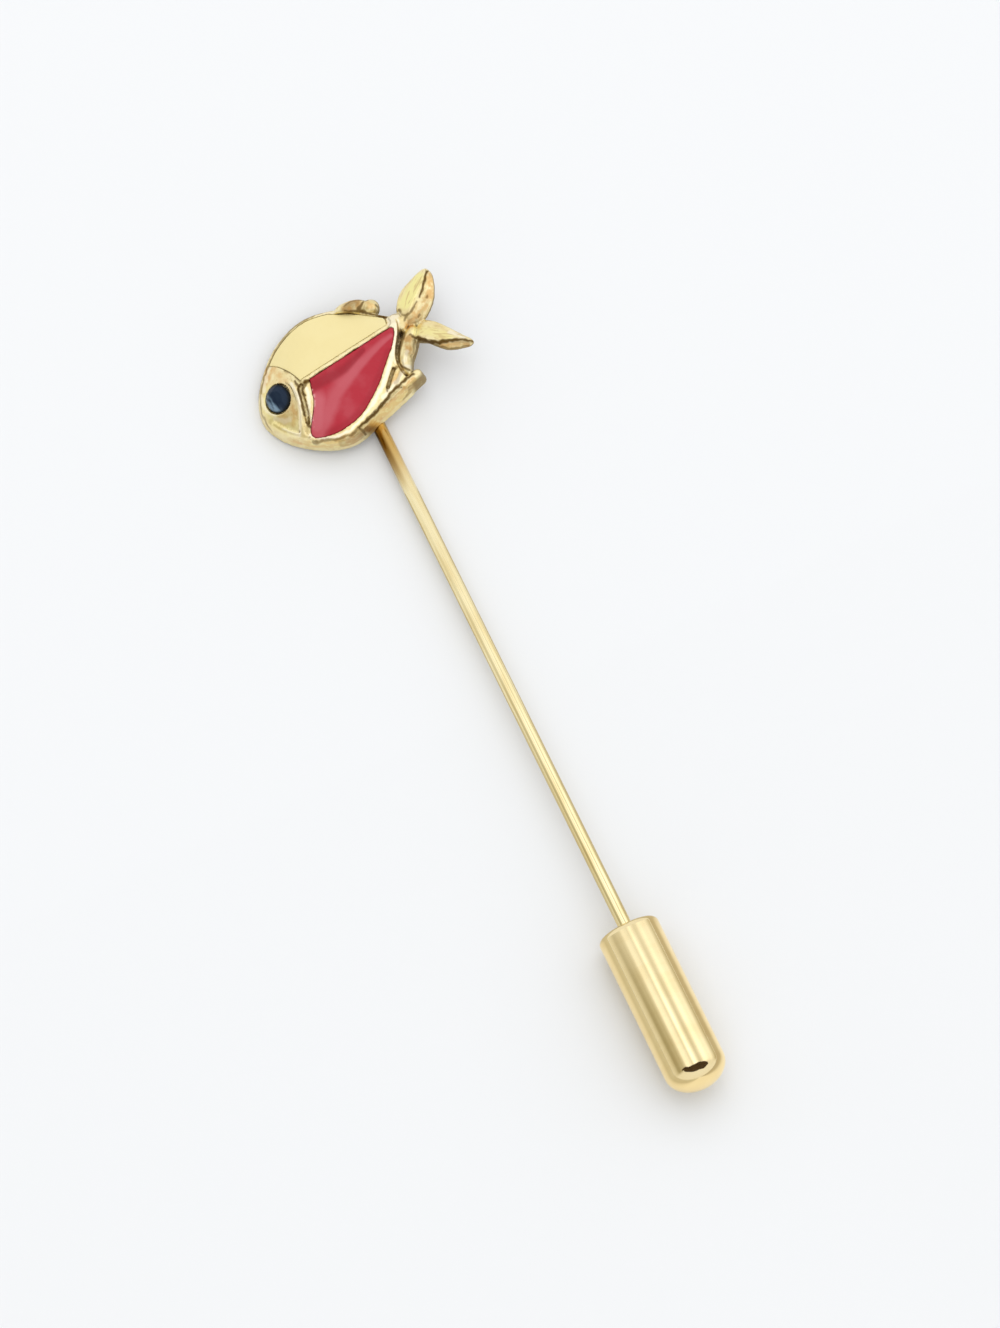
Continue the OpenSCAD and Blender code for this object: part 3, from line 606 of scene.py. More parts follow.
# Painted shade, painted highlights and tan tone with painted shade on the casting's front, from the head to
# the flukes
CASTING_STROKES = (
    # Groove between the cell's wall and the cream's panel
    Stroke(Channel.DARK, 0.36, 0.24, 1.0,
           ((4.5, 5.7), (5.0, 5.6), (6.0, 5.8), (7.6, 5.9), (8.4, 6.1), (9.4, 6.3))),
    Stroke(Channel.DARK, 0.12, 0.1, 0.55, ((9.4, 6.3), (10.4, 6.3), (11.8, 6.3))),
    Stroke(Channel.DARK, 0.1, 0.1, 0.5, ((10.8, 6.6), (11.3, 6.6), (12.0, 6.7))),
    Stroke(Channel.DARK, 0.12, 0.1, 0.45, ((12.2, 6.7), (12.6, 7.0), (12.7, 7.6))),
    Stroke(Channel.PALE, 0.16, 0.26, 0.8, ((9.5, 6.4), (10.6, 6.4), (11.8, 6.4), (12.6, 6.6))),
    # Head's lip and the groove behind it
    Stroke(Channel.DARK, 0.16, 0.14, 0.6, ((3.4, 7.6), (3.8, 7.1), (4.0, 6.6), (4.2, 5.9))),
    Stroke(Channel.DARK, 0.24, 0.16, 0.85, ((4.6, 5.6), (4.1, 5.3), (4.0, 5.0), (4.0, 4.7))),
    Stroke(Channel.DARK, 0.22, 0.18, 0.85,
           ((3.8, 6.2), (3.9, 5.6), (3.7, 5.2), (3.6, 4.6), (3.5, 4.0), (3.3, 3.4))),
    Stroke(Channel.DARK, 0.2, 0.26, 0.9, ((3.5, 3.2), (3.2, 2.7), (3.3, 2.4))),
    Stroke(Channel.PALE, 0.24, 0.24, 0.95,
           ((3.5, 6.1), (3.5, 5.4), (3.4, 4.6), (3.2, 3.9), (2.8, 3.2), (2.3, 2.3))),
    Stroke(Channel.PALE, 0.3, 0.26, 0.95, ((4.4, 5.2), (4.3, 4.7), (4.0, 4.0), (3.7, 3.4), (3.6, 2.8))),
    Stroke(Channel.PALE, 0.2, 0.2, 0.6, ((1.3, 3.4), (1.8, 2.8), (2.2, 2.3))),
    Stroke(Channel.PALE, 0.24, 0.2, 0.55, ((0.9, 6.9), (0.7, 6.0), (0.8, 5.3), (1.2, 4.7))),
    Stroke(Channel.PALE, 0.3, 0.4, 0.6, ((1.1, 4.5), (1.7, 3.9), (2.1, 3.8))),
    Stroke(Channel.TAN, 0.8, 0.6, 0.85, ((2.3, 8.4), (1.8, 7.6))),
    Stroke(Channel.LEMON, 0.9, 0.7, 0.45, ((1.6, 6.9), (0.9, 5.6), (1.0, 4.2), (1.6, 3.2))),
    Stroke(Channel.LEMON, 0.7, 0.7, 0.3, ((2.3, 3.3), (2.0, 2.8))),
    Stroke(Channel.TAN, 1.0, 0.8, 0.45, ((1.3, 7.2), (2.9, 6.6), (2.7, 4.6), (1.4, 3.9))),
    Stroke(Channel.TAN, 0.5, 0.5, 0.6, ((2.7, 8.6), (2.9, 7.4))),
    Stroke(Channel.TAN, 0.5, 0.4, 0.7, ((2.9, 5.6), (2.8, 4.7), (2.7, 3.9), (2.2, 3.3))),
    # Outline of the head and of the cream's panel
    Stroke(Channel.DARK, 0.2, 0.2, 0.6,
           ((1.0, 7.1), (1.6, 8.0), (2.4, 8.8), (3.2, 9.5), (4.2, 10.2), (5.4, 10.8), (6.5, 11.0),
            (8.0, 11.0), (9.2, 10.7))),
    Stroke(Channel.PALE, 0.26, 0.26, 0.5,
           ((1.2, 7.0), (1.8, 7.9), (2.6, 8.7), (3.4, 9.3), (4.4, 10.0), (5.5, 10.5), (6.5, 10.7),
            (8.0, 10.7), (9.0, 10.4))),
    Stroke(Channel.DARK, 0.14, 0.14, 0.5,
           ((0.9, 7.0), (0.5, 6.2), (0.3, 5.3), (0.3, 4.3), (0.6, 3.2), (1.2, 2.2))),
    # Flared wall below the red
    Stroke(Channel.DARK, 0.16, 0.16, 0.6,
           ((3.0, 1.4), (3.6, 1.1), (4.3, 0.8), (5.2, 0.5), (6.0, 0.4), (6.7, 0.6))),
    Stroke(Channel.DARK, 0.18, 0.24, 0.95,
           ((6.7, 0.6), (7.6, 0.9), (8.5, 1.2), (9.5, 1.6), (10.5, 2.1), (12.4, 2.6))),
    Stroke(Channel.DARK, 0.14, 0.14, 0.5, ((8.1, 0.3), (10.1, 1.1), (11.6, 1.8), (12.8, 2.1))),
    Stroke(Channel.DARK, 0.22, 0.16, 0.8, ((6.8, 0.5), (7.0, 0.3))),
    Stroke(Channel.PALE, 0.2, 0.2, 0.9,
           ((8.4, 1.7), (7.2, 1.1), (6.1, 0.7), (5.1, 0.7), (3.9, 1.1), (3.0, 1.9))),
    Stroke(Channel.PALE, 0.34, 0.26, 1.0,
           ((12.8, 6.2), (12.2, 5.3), (11.6, 4.6), (10.8, 3.7), (10.1, 2.9), (8.4, 1.7))),
    Stroke(Channel.LEMON, 0.3, 0.3, 0.35, ((7.7, 0.6), (8.6, 1.0), (9.7, 1.2), (10.8, 1.6), (12.6, 2.1))),
    Stroke(Channel.TAN, 0.5, 0.5, 0.9, ((7.8, 0.6), (8.6, 0.9), (9.4, 1.2), (10.5, 1.5), (12.2, 2.1))),
    Stroke(Channel.TAN, 0.6, 0.5, 0.9, ((7.4, 0.2), (8.1, 0.3), (10.1, 0.9), (11.6, 1.5), (12.8, 1.9))),
    Stroke(Channel.LEMON, 0.5, 0.5, 0.3, ((2.3, 1.6), (3.6, 0.7), (5.0, 0.2))),
    Stroke(Channel.TAN, 0.6, 0.7, 0.7, ((1.2, 2.4), (2.2, 1.6), (3.5, 0.8), (5.0, 0.3), (6.6, 0.1))),
    Stroke(Channel.DARK, 0.3, 0.3, 0.3, ((4.9, 0.3), (5.8, 0.1), (6.6, 0.3))),
    # Flank between the red and the tail
    Stroke(Channel.DARK, 0.26, 0.2, 0.7,
           ((11.5, 3.6), (11.1, 3.5), (10.8, 3.2), (10.6, 2.9), (10.3, 2.6), (10.0, 2.2))),
    Stroke(Channel.TAN, 0.6, 0.4, 0.7, ((11.5, 3.4), (11.0, 3.0), (10.7, 2.5))),
    Stroke(Channel.DARK, 0.3, 0.3, 0.35, ((11.9, 3.4), (11.4, 2.9), (10.9, 2.5))),
    Stroke(Channel.PALE, 0.3, 0.3, 0.8, ((11.8, 3.1), (11.1, 2.6), (10.3, 2.3), (9.5, 1.9))),
    Stroke(Channel.PALE, 0.3, 0.3, 0.5, ((12.1, 5.1), (11.6, 4.0))),
    # Fin
    Stroke(Channel.DARK, 0.16, 0.3, 0.85,
           ((9.8, 9.9), (10.3, 9.6), (11.0, 9.4), (11.3, 9.0), (11.7, 8.6), (12.1, 8.2))),
    Stroke(Channel.DARK, 0.4, 0.3, 1.0, ((12.1, 8.2), (12.5, 7.8))),
    Stroke(Channel.DARK, 0.14, 0.1, 0.5, ((12.6, 7.9), (13.5, 7.6), (13.6, 7.3))),
    Stroke(Channel.DARK, 0.2, 0.16, 0.7, ((9.9, 10.3), (10.2, 10.4), (10.8, 10.5), (11.8, 10.0))),
    Stroke(Channel.DARK, 0.14, 0.34, 0.85, ((11.4, 10.0), (11.2, 9.8), (10.9, 9.6))),
    Stroke(Channel.DARK, 0.16, 0.14, 0.7, ((12.2, 9.3), (12.3, 9.1), (12.2, 8.9))),
    Stroke(Channel.TAN, 0.9, 0.9, 0.95, ((10.1, 10.1), (10.8, 10.1))),
    Stroke(Channel.DARK, 0.9, 0.8, 0.45, ((10.0, 10.0), (10.8, 10.1))),
    Stroke(Channel.TAN, 0.6, 0.5, 0.6, ((11.6, 9.6), (11.9, 9.2))),
    # Tail's root and stem
    Stroke(Channel.PALE, 0.5, 0.5, 0.8, ((13.4, 7.6), (12.7, 7.4), (13.1, 7.2), (12.8, 6.6), (12.6, 7.0))),
    Stroke(Channel.DARK, 0.16, 0.18, 0.85,
           ((12.7, 5.5), (12.3, 4.9), (12.0, 4.3), (11.9, 3.9), (11.9, 3.5), (12.3, 3.1))),
    Stroke(Channel.DARK, 0.18, 0.14, 0.8, ((14.0, 5.0), (13.6, 4.5), (13.3, 4.2), (13.0, 3.8))),
    Stroke(Channel.DARK, 0.12, 0.1, 0.5, ((13.6, 4.9), (13.4, 4.5), (13.0, 4.1), (12.7, 3.7))),
    Stroke(Channel.DARK, 0.12, 0.12, 0.6, ((13.1, 6.4), (13.0, 5.5))),
    Stroke(Channel.DARK, 0.1, 0.12, 0.5, ((13.3, 6.1), (13.1, 5.6))),
    Stroke(Channel.DARK, 0.12, 0.16, 0.7, ((12.6, 5.8), (12.9, 5.8))),
    Stroke(Channel.DARK, 0.2, 0.16, 0.75, ((13.6, 5.6), (13.9, 5.4))),
    Stroke(Channel.PALE, 0.2, 0.3, 0.6, ((12.8, 4.4), (12.6, 4.2), (12.3, 3.8))),
    Stroke(Channel.PALE, 0.26, 0.26, 0.8, ((12.2, 3.9), (12.0, 3.5), (12.5, 3.3))),
    Stroke(Channel.TAN, 0.7, 0.5, 0.9, ((13.3, 5.4), (13.1, 5.1), (13.0, 4.4))),
    Stroke(Channel.DARK, 0.6, 0.5, 0.28, ((13.4, 5.3), (13.1, 4.8), (12.8, 4.3))),
    Stroke(Channel.TAN, 0.5, 0.5, 0.85, ((14.1, 6.8), (14.0, 6.3), (13.7, 6.5))),
    # Upper fluke
    Stroke(Channel.DARK, 0.2, 0.2, 0.7, ((13.7, 8.0), (13.7, 7.6), (13.9, 7.2), (13.7, 6.9))),
    Stroke(Channel.DARK, 0.22, 0.12, 0.7, ((13.9, 7.2), (14.2, 7.2), (14.5, 7.3), (14.9, 7.5), (15.2, 7.8))),
    Stroke(Channel.DARK, 0.22, 0.16, 0.95, ((17.0, 9.8), (16.7, 9.4), (16.4, 8.9), (16.1, 8.5), (15.6, 8.0))),
    Stroke(Channel.DARK, 0.2, 0.14, 0.6, ((16.1, 7.8), (16.2, 7.9))),
    Stroke(Channel.DARK, 0.16, 0.2, 0.6, ((14.8, 6.7), (15.0, 6.8))),
    Stroke(Channel.LEMON, 1.2, 0.8, 0.9, ((14.4, 8.2), (14.9, 8.5), (15.5, 9.0), (16.2, 9.6))),
    Stroke(Channel.TAN, 0.6, 0.9, 0.85, ((17.0, 9.3), (16.7, 8.2), (16.0, 7.6), (15.2, 7.2), (14.6, 6.8))),
    # Lower fluke
    Stroke(Channel.DARK, 0.26, 0.22, 0.95,
           ((13.7, 5.4), (14.0, 5.2), (14.3, 4.8), (14.8, 4.4), (15.4, 4.0), (15.9, 3.8), (16.5, 3.6),
            (17.3, 3.3), (17.7, 3.0))),
    Stroke(Channel.DARK, 0.14, 0.12, 0.6, ((14.6, 4.5), (15.3, 3.8), (15.9, 3.3), (16.6, 3.0), (17.4, 2.8))),
    Stroke(Channel.LEMON, 0.9, 0.6, 0.6, ((14.3, 5.7), (15.1, 5.2), (15.7, 4.6), (16.3, 4.0))),
    Stroke(Channel.PALE, 0.4, 0.3, 0.8, ((16.5, 4.4), (16.9, 4.0), (17.3, 3.5))),
    Stroke(Channel.TAN, 0.4, 0.4, 0.75, ((15.5, 3.8), (16.4, 3.3), (17.3, 2.9))),
)

# The red's painted reflection streak, its painted deeper shade and the bubbles along the head's lip
RED_STROKES = (
    Stroke(Channel.LIGHT, 1.5, 0.3, 0.6,
           ((3.6, 1.8), (4.2, 2.2), (5.1, 2.9), (6.1, 3.7), (7.4, 4.4), (8.8, 5.0), (10.1, 5.5),
            (11.3, 5.9), (12.2, 6.1)), soft_left=1.9),
    Stroke(Channel.LIGHT, 1.5, 1.2, 0.85, ((4.7, 3.9), (4.4, 3.2), (3.9, 2.2)), soft_left=1.6),
    Stroke(Channel.DEEP, 1.0, 0.4, 0.7,
           ((4.9, 5.2), (5.7, 5.2), (6.7, 5.2), (7.8, 5.3), (8.9, 5.7), (9.7, 6.0)), soft_left=1.6),
    Stroke(Channel.DEEP, 0.8, 0.6, 0.35,
           ((4.4, 1.2), (5.7, 1.1), (7.2, 1.5), (8.6, 2.3), (10.1, 3.6), (11.5, 5.0))),
    Stroke(Channel.BUBBLE, 0.5, 0.4, 1.0,
           ((4.6, 5.0), (4.5, 4.5), (4.3, 3.9), (3.9, 3.5), (3.6, 3.0), (3.5, 2.5))),
)


def copy_of(node: str, name: str) -> Object:
    """A merged copy of a CAD node's mesh, as an object of its own.

    Args:
        node: the CAD node.
        name: the new piece's name.

    Returns:
        The new object, in the node's place.
    """
    obj = bpy.data.objects.new(name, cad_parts[node].data.copy())
    obj.data.name = name
    bpy.context.scene.collection.objects.link(obj)
    obj.data.materials.clear()
    activate(obj)
    bpy.ops.object.mode_set(mode="EDIT")
    bpy.ops.mesh.select_all(action="SELECT")
    bpy.ops.mesh.remove_doubles(threshold=1e-7)
    bpy.ops.object.mode_set(mode="OBJECT")
    return obj


@dataclass
class WhaleCasting:
    """The whale: a casting with soft edges, worn plating, painted highlights and painted shade in its
    creases.
    """

    voxel: float = 0.074
    rounds: int = 3
    wire_r: float = 0.57
    wire_l: float = 66.0
    lumps: float = 0.05
    lump_size: float = 0.9
    wobble: float = 0.09
    wobble_size: float = 0.35
    hollow_rounds: int = 14
    flukes_x: tuple = (13.9, 14.6)
    flukes_y: float = 6.2

    def build(self) -> Object:
        """Copies the casting without its wire and rounds it as tumbling does.

        Returns:
            The piece.
        """
        obj = copy_of("whale_body", "whale_casting")
        bpy.ops.mesh.primitive_cylinder_add(vertices=64, radius=self.wire_r, depth=self.wire_l)
        cutter = bpy.context.object
        cutter.data.transform(LAY.wire_axes() @ Matrix.Translation((0, 0.5 - self.wire_l / 2, 0))
                              @ Matrix.Rotation(math.pi / 2, 4, "X"))
        apply_modifier(obj, "BOOLEAN", object=cutter, operation="DIFFERENCE", solver="EXACT")
        bpy.data.objects.remove(cutter)
        apply_modifier(obj, "REMESH", mode="VOXEL", voxel_size=self.voxel * MM, use_smooth_shade=True)
        apply_modifier(obj, "SMOOTH", factor=0.5, iterations=self.rounds)
        skin = bpy.data.textures.new("cast_skin", "CLOUDS")
        skin.noise_scale = self.lump_size * MM
        apply_modifier(obj, "DISPLACE", texture=skin, strength=self.lumps * MM, mid_level=0.5)
        activate(obj)
        bpy.ops.object.shade_smooth()
        self.paint_light_and_tone(obj.data)
        dress(obj, CastGold().make())
        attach(obj, "pin")
        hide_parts("whale_body")
        return obj

    def paint_light_and_tone(self, mesh: Mesh) -> None:
        """Stores where the metal gets painted shade, painted pale and lemon highlights, tan tone with painted
        shade, or ribs.
        """
        points = LAY.to_casting(mesh_points(mesh))
        normals = LAY.directions(mesh_normals(mesh))
        hollow = ((smoothed(mesh, points, self.hollow_rounds) - points) * normals).sum(1)
        flat = wobbled(points[:, :2], self.wobble_size, self.wobble)
        front = soft_step(normals[:, 2], -0.1, 0.1) * soft_step(points[:, 2], 0.5, 0.8)
        for wanted in (Channel.DARK, Channel.PALE, Channel.TAN, Channel.LEMON):
            values = paint(flat, CASTING_STROKES, wanted) * front
            if wanted is Channel.DARK:
                # Painted shade also fills every hollow and clings to the steep outer sides
                steep = 1 - soft_step(normals[:, 2], 0.1, 0.55)
                tail = soft_step(points[:, 0], 11.6, 12.2) + soft_step(points[:, 1], 6.6, 7.4)
                values = np.maximum.reduce([values, 0.9 * soft_step(hollow, 0.014, 0.05),
                                            0.7 * steep * np.clip(tail, 0, 1)])
            write_channel(mesh, wanted.value, values)
        ribbed = soft_step(points[:, 0], *self.flukes_x) * front
        write_channel(mesh, "upper_ribs", ribbed * (points[:, 1] > self.flukes_y))
        write_channel(mesh, "lower_ribs", ribbed * (points[:, 1] <= self.flukes_y))


@dataclass
class EnamelPool:
    """A field of enamel, fired in its cell, with a soft meniscus at its border."""

    node: str
    name: str
    slot: str
    finish: HardEnamel
    strokes: tuple = ()
    voxel: float = 0.05
    rounds: int = 8
    rim_rounds: int = 20

    def build(self) -> Object:
        """Copies the field's solid, rounds it and stores its painted reflection, painted shade and bubbles.

        Returns:
            The piece.
        """
        obj = copy_of(self.node, self.name)
        apply_modifier(obj, "REMESH", mode="VOXEL", voxel_size=self.voxel * MM, use_smooth_shade=True)
        apply_modifier(obj, "SMOOTH", factor=0.5, iterations=self.rounds)
        activate(obj)
        bpy.ops.object.shade_smooth()
        points = LAY.to_casting(mesh_points(obj.data))
        normals = LAY.directions(mesh_normals(obj.data))
        for wanted in (Channel.LIGHT, Channel.DEEP, Channel.BUBBLE):
            write_channel(obj.data, wanted.value, paint(points[:, :2], self.strokes, wanted))
        # Painted shade along the pool's rounded border
        rim = ((points - smoothed(obj.data, points, self.rim_rounds)) * normals).sum(1)
        write_channel(obj.data, "edge", 0.7 * soft_step(rim, 0.02, 0.06))
        dress(obj, self.finish.make())
        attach(obj, "pin")
        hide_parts(self.node)
        return obj


def rod(name: str, radius: float, length: float, sides: int) -> Object:
    """A cylinder that stands on the origin, in millimetres, as a piece of its own."""
    deselect_all()
    bpy.ops.mesh.primitive_cylinder_add(vertices=sides, radius=radius, depth=length,
                                        location=(0, 0, length / 2))
    obj = bpy.context.object
    obj.name = obj.data.name = name
    bpy.ops.object.transform_apply(location=True, rotation=True, scale=True)
    return obj


def stretch_cap(height: float, size: float) -> None:
    """Extrudes the selected cap by a height and scales it about the rod's axis."""
    bpy.ops.mesh.extrude_region_move(TRANSFORM_OT_translate={"value": (0, 0, height)})
    bpy.ops.transform.resize(value=(size, size, 1), center_override=(0, 0, 0))


def end_cap(obj: Object, height: float) -> None:
    """Enters edit mode with only the flat face at that height selected."""
    activate(obj)
    for polygon in obj.data.polygons:
        polygon.select = abs(polygon.center.z - height) < 1e-3 and abs(polygon.normal.z) > 0.99
    for edge in obj.data.edges:
        edge.select = False
    for vertex in obj.data.vertices:
        vertex.select = False
    for polygon in obj.data.polygons:
        if polygon.select:
            for k in polygon.vertices:
                obj.data.vertices[k].select = True
    bpy.ops.object.mode_set(mode="EDIT")
    bpy.ops.mesh.select_mode(type="FACE")


@dataclass
class PinWire:
    """The drawn wire with its ground point."""

    length: float = 63.5
    diameter: float = 1.1
    sides: int = 48
    point_l: float = 2.0
    point_steps: tuple = ((0.5, 0.66), (0.38, 0.45), (0.12, 0.55))
    end_r: float = 0.12
    sharp: float = 35.0

    def build(self, finish: Material) -> Object:
        """Extrudes the wire's point from a rod and lays it in its place.

        Args:
            finish: the wire's material.

        Returns:
            The piece.
        """
        shank = self.length - self.point_l
        obj = rod("pin_wire", self.diameter / 2, shank, self.sides)
        end_cap(obj, shank)
        for share, size in self.point_steps:
            stretch_cap(self.point_l * share, size)
        bpy.ops.object.mode_set(mode="OBJECT")
        end_cap(obj, 0)
        bpy.ops.mesh.bevel(offset=self.end_r, segments=3, affect="EDGES")
        bpy.ops.object.mode_set(mode="OBJECT")
        obj.data.transform(LAY.wire_axes() @ Matrix.Rotation(math.pi / 2, 4, "X"))
        activate(obj)
        bpy.ops.object.shade_smooth_by_angle(angle=math.radians(self.sharp))
        dress(obj, finish)
        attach(obj, "pin")
        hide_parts("whale_body")
        return obj


@dataclass
class ClutchBarrel:
    """The polished clutch: a barrel with a round end, and the mouth and bore that take the wire."""

    diameter: float = 5.0
    length: float = 14.0
    dome_h: float = 1.9
    rim_r: float = 0.45
    mouth_d: float = 1.8
    bore_d: float = 1.16
    grip_l: float = 10.9
    free_l: float = 52.6
    sides: int = 96
    dome_steps: int = 14
    dome_end: float = 0.985
    rim_steps: int = 8
    sharp: float = 40.0

    def build(self, finish: Material) -> Object:
        """Shapes the barrel from a rod: dome, rim, mouth and bore.

        Args:
            finish: the clutch's material.

        Returns:
            The piece.
        """
        radius = self.diameter / 2
        wall = self.length - self.dome_h
        obj = rod("clutch_barrel", radius, wall, self.sides)
        end_cap(obj, wall)
        before = (1.0, 0.0)
        for k in range(1, self.dome_steps + 1):
            angle = math.pi / 2 * min(k / self.dome_steps, self.dome_end)
            after = (math.cos(angle), math.sin(angle))
            stretch_cap(self.dome_h * (after[1] - before[1]), after[0] / before[0])
            before = after
        bpy.ops.object.mode_set(mode="OBJECT")
        end_cap(obj, 0)
        bpy.ops.mesh.bevel(offset=self.rim_r, segments=self.rim_steps, affect="EDGES")
        bpy.ops.object.mode_set(mode="OBJECT")
        end_cap(obj, 0)
        sink = (self.mouth_d - self.bore_d) / 2
        bpy.ops.mesh.inset(thickness=radius - self.rim_r - self.mouth_d / 2)
        stretch_cap(sink, self.bore_d / self.mouth_d)
        bpy.ops.mesh.extrude_region_move(TRANSFORM_OT_translate={"value": (0, 0, self.grip_l - sink)})
        bpy.ops.object.mode_set(mode="OBJECT")
        obj.data.transform(LAY.wire_axes() @ Matrix.Translation((0, -self.free_l, 0))
                           @ Matrix.Rotation(math.pi / 2, 4, "X"))
        activate(obj)
        bpy.ops.object.shade_smooth_by_angle(angle=math.radians(self.sharp))
        dress(obj, finish)
        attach(obj, "clutch")
        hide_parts("pin_clutch")
        return obj


# Studio

# Brightness of the room round the wire's direction. Columns: degrees from straight up towards +X, tone.
BANDS = (
    (-120, 0.75), (-93, 0.82), (-84, 0.82), (-75, 0.68), (-67, 0.44), (-59, 0.46), (-51, 0.57),
    (-44, 0.58), (-36, 0.78), (-29, 1.25), (-22, 1.25), (-15, 1.12), (-8, 0.92), (1, 1.75),
    (6, 1.5), (13, 1.03), (20, 0.78), (28, 0.94), (36, 1.4), (43, 1.5), (51, 1.3),
    (59, 1.2), (67, 1.22), (77, 0.9), (86, 0.6), (95, 0.52), (120, 0.7),
)


@dataclass
class Studio:
    """Pale table, soft light and the camera. Lengths are in millimetres."""

    azimuth: float = -25.22
    elevation: float = 75.0
    pixels_per_mm: float = 12.8
    photo_w: int = 1000
    sensor_w: float = 36.0
    distance: float = 600.0
    aim: tuple = (-0.537, 2.22, 3.202)
    table_w: float = 1600.0
    card_w: float = 300.0
    card_z: float = 0.02
    side_reach: float = 30.0
    strip_w: float = 8.0
    strip_l: float = 19.0
    # Colours of the sheet of painted shade that the metal mirrors
    left_card: str = "#cac6b8"
    right_card: str = "#bab19f"
    near_card: str = "#f2eee4"
    near_x: tuple = (4, 13)
    near_y: tuple = (-22, -18)
    dark_card: str = "#46331d"
    dark_w: float = 180.0
    dark_l: float = 76.0
    dark_at: tuple = (-2.6, -88, 70)
    dark_turn: float = -14.0
    dark_ragged: float = 11.0
    table: str = "#e4e6e9"
    less_green: float = 0.16
    less_blue: float = 0.65
    below: tuple = (0.8, 0.8, 0.8, 1)
    end_wall: tuple = (0.97, 0.97, 0.97, 1)

    def axes(self) -> tuple:
        """The camera's right, up and back directions."""
        a, e = math.radians(self.azimuth), math.radians(self.elevation)
        right = Vector((math.cos(a), math.sin(a), 0))
        back = Vector((math.sin(a) * math.cos(e), -math.cos(a) * math.cos(e), math.sin(e)))
        return right, back.cross(right), back

    def camera(self) -> None:
        """A long lens, square on to the aim, with the photograph's width in millimetres across its frame."""
        right, up, back = self.axes()
        data = bpy.data.cameras.new("camera")
        data.sensor_fit = "HORIZONTAL"
        data.sensor_width = self.sensor_w
        data.lens = data.sensor_width * self.distance / (self.photo_w / self.pixels_per_mm)
        data.clip_start = 0.01
        data.clip_end = 10.0
        obj = bpy.data.objects.new("camera", data)
        bpy.context.scene.collection.objects.link(obj)
        place = (Vector(self.aim) + back * self.distance) * MM
        obj.matrix_world = Matrix.Translation(place) @ Matrix((right, up, back)).transposed().to_4x4()
        bpy.context.scene.camera = obj

    def floor(self) -> None:
        """A pale matt table top."""
        deselect_all()
        bpy.ops.mesh.primitive_plane_add(size=self.table_w * MM)
        obj = bpy.context.object
        obj.name = obj.data.name = "table_top"
        material, _, shader = new_material("white_card")
        shader.inputs["Base Color"].default_value = linear(self.table)
        shader.inputs["Roughness"].default_value = 0.9
        dress(obj, material)

    def mirrored_shade_card(self) -> None:
        """Painted shade in reflections: a darker sheet, flat under the pin, that only its metal mirrors,
        standing for the shaded table round the pin as its sides see it.
        """
        deselect_all()
        bpy.ops.mesh.primitive_plane_add(size=self.card_w * MM, location=(0, 0, self.card_z * MM))
        bpy.ops.transform.translate(value=(0, -self.card_w / 2 * MM, 0))
        obj = bpy.context.object
        obj.name = obj.data.name = "mirrored_shade_card"
        # A strip of it goes on under the wire's upper half
        middle = (0, self.strip_l / 2 * MM, self.card_z * MM)
        bpy.ops.object.mode_set(mode="EDIT")
        bpy.ops.mesh.primitive_plane_add(size=self.strip_w * MM, location=middle)
        bpy.ops.transform.resize(value=(1, self.strip_l / self.strip_w, 1), center_override=middle)
        bpy.ops.object.mode_set(mode="OBJECT")
        material, tree, shader = new_material("mirrored_shade_grey")
        place = add_node(tree, "ShaderNodeNewGeometry").outputs["Position"]
        parts = add_node(tree, "ShaderNodeSeparateXYZ", {0: place})
        share = ramp(tree, parts.outputs[0], -self.side_reach * MM, self.side_reach * MM)
        colour = blend_colours(tree, share, linear(self.left_card), linear(self.right_card))
        # The sheet is paler close beside the clutch
        beside = reckon(tree, "ABSOLUTE", parts.outputs[0])
        beside = ramp(tree, beside, self.near_x[0] * MM, self.near_x[1] * MM)
        above = ramp(tree, parts.outputs[1], self.near_y[0] * MM, self.near_y[1] * MM)
        away = reckon(tree, "MAXIMUM", beside, above)
        colour = blend_colours(tree, away, linear(self.near_card), colour)
        tree.links.new(colour, shader.inputs["Base Color"])
        shader.inputs["Roughness"].default_value = 1.0
        dress(obj, material)
        self.mirrored_only(obj)

    def camera_card(self) -> None:
        """A dark ragged card over the clutch's end: the camera's outline, as the clutch's dome mirrors it."""
        deselect_all()
        bpy.ops.mesh.primitive_circle_add(vertices=18, radius=1.0, fill_type="NGON")
        obj = bpy.context.object
        obj.name = obj.data.name = "camera_card"
        bpy.ops.object.mode_set(mode="EDIT")
        bpy.ops.transform.resize(value=(self.dark_w * MM / 2, self.dark_l * MM / 2, 1))
        bpy.ops.transform.vertex_random(offset=self.dark_ragged * MM, uniform=1.0, seed=4)
        bpy.ops.object.mode_set(mode="OBJECT")
        obj.data.transform(Matrix.Translation(Vector(self.dark_at) * MM)
                           @ Matrix.Rotation(math.radians(self.dark_turn), 4, "Z"))
        material, _, shader = new_material("dark_cloth")
        shader.inputs["Base Color"].default_value = linear(self.dark_card)
        shader.inputs["Roughness"].default_value = 1.0
        dress(obj, material)
        self.mirrored_only(obj)

    def mirrored_only(self, obj: Object) -> None:
        """Makes a card of the studio show in reflections only."""
        obj.visible_camera = obj.visible_diffuse = obj.visible_shadow = False

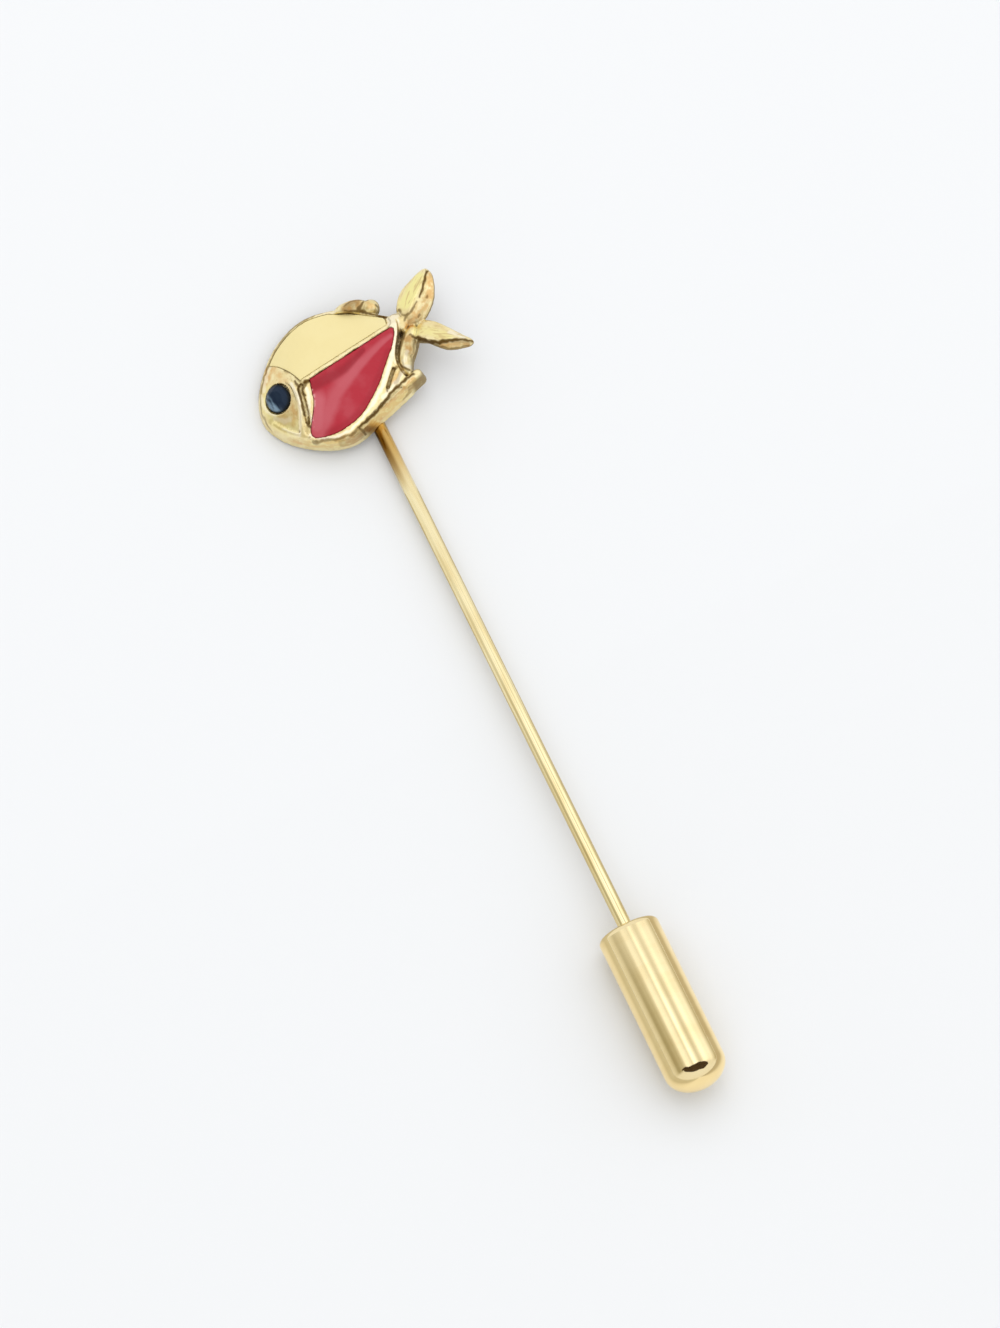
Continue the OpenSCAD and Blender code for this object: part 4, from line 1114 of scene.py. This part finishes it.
    def softbox(self, name: str, heading: float, height: float, width: float, depth: float, power: float,
                reach: float = 500.0) -> None:
        """An area light that faces the pin.

        Args:
            name: its name.
            heading: the side that it stands on, in degrees from +X towards +Y.
            height: its elevation in degrees.
            width: its width in millimetres.
            depth: its other side in millimetres.
            power: its power in watts.
            reach: its distance in millimetres.
        """
        h, e = math.radians(heading), math.radians(height)
        way = Vector((math.cos(h) * math.cos(e), math.sin(h) * math.cos(e), math.sin(e)))
        data = bpy.data.lights.new(name, "AREA")
        data.shape = "RECTANGLE"
        data.size, data.size_y = width * MM, depth * MM
        data.energy = power
        obj = bpy.data.objects.new(name, data)
        bpy.context.scene.collection.objects.link(obj)
        turn = way.to_track_quat("Z", "Y").to_matrix().to_4x4()
        obj.matrix_world = Matrix.Translation(way * reach * MM) @ turn
        obj.visible_glossy = False

    def surroundings(self) -> None:
        """A pale room with darker strips between its soft boxes, all along the wire's direction."""
        world = bpy.data.worlds.new("pale_room")
        world.use_nodes = True
        tree = world.node_tree
        tree.nodes.clear()
        way = add_node(tree, "ShaderNodeTexCoord").outputs["Generated"]
        parts = add_node(tree, "ShaderNodeSeparateXYZ", {0: way})
        side = reckon(tree, "ARCTAN2", parts.outputs[0], parts.outputs[2])
        share = add_node(tree, "ShaderNodeMapRange", {0: side, 1: -math.pi, 2: math.pi}).outputs[0]
        bands = add_node(tree, "ShaderNodeValToRGB", {0: share})
        for angle, tone in BANDS:
            place = (angle + 180) / 360
            stop = bands.color_ramp.elements.new(place)
            shade = max(1 - tone, 0)
            stop.color = (tone, tone * (1 - self.less_green * shade), tone * (1 - self.less_blue * shade), 1)
        for stop in (bands.color_ramp.elements[0], bands.color_ramp.elements[-1]):
            stop.color = self.below
        # The strips end before the room's two end walls, which are evenly pale
        length = reckon(tree, "ABSOLUTE", parts.outputs[1])
        tone = blend_colours(tree, ramp(tree, length, 0.2, 0.5), bands.outputs[0], self.end_wall)
        light = add_node(tree, "ShaderNodeBackground", {"Color": tone, "Strength": 1.0})
        add_node(tree, "ShaderNodeOutputWorld", {"Surface": light.outputs[0]})
        bpy.context.scene.world = world

    def build(self) -> None:
        """Sets the table, the lights and the camera."""
        self.camera()
        self.floor()
        self.surroundings()
        self.softbox("key_softbox", heading=60, height=66, width=700, depth=700, power=1.7, reach=800)
        self.mirrored_shade_card()
        self.camera_card()
        bpy.context.scene.view_settings.view_transform = "Standard"


def main() -> None:
    """Builds the pin's pieces in order and reports each one."""
    logging.basicConfig(level=logging.INFO, format="%(message)s")
    Studio().build()
    wire_finish = DrawnWire().make()
    clutch_finish = PolishedPlate("pale_gold_plated_brass", "#f4e2b2", "#efdba8", 0.06).make()
    # Each enamel's light colour also paints its reflection streak; its deep and edge colours paint shade
    cream = HardEnamel("cream_hard_enamel", colour="#e4d59c", light="#e8dba6", deep="#d2c28a",
                       edge="#b3a376", bubble="#d8cda4")
    crimson = HardEnamel("crimson_hard_enamel", colour="#ab2132", light="#c1606a", deep="#8d1022",
                         edge="#8a1826", bubble="#e0a0a0")
    pieces = [
        WhaleCasting().build(),
        EnamelPool("cream_enamel", "cream_pool", "cream_enamel", cream).build(),
        EnamelPool("red_enamel", "crimson_pool", "red_enamel", crimson, RED_STROKES).build(),
        PinWire().build(wire_finish),
        ClutchBarrel().build(clutch_finish),
    ]
    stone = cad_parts["eye_stone"]
    corners = mesh_points(stone.data)
    dress_node(stone, DarkStone(tuple((corners.min(0) + corners.max(0)) / 2)).make())
    pieces.append(stone)
    for piece in pieces:
        LOG.info("%s: %d faces", piece.name, len(piece.data.polygons))


if __name__ == "__main__":
    main()
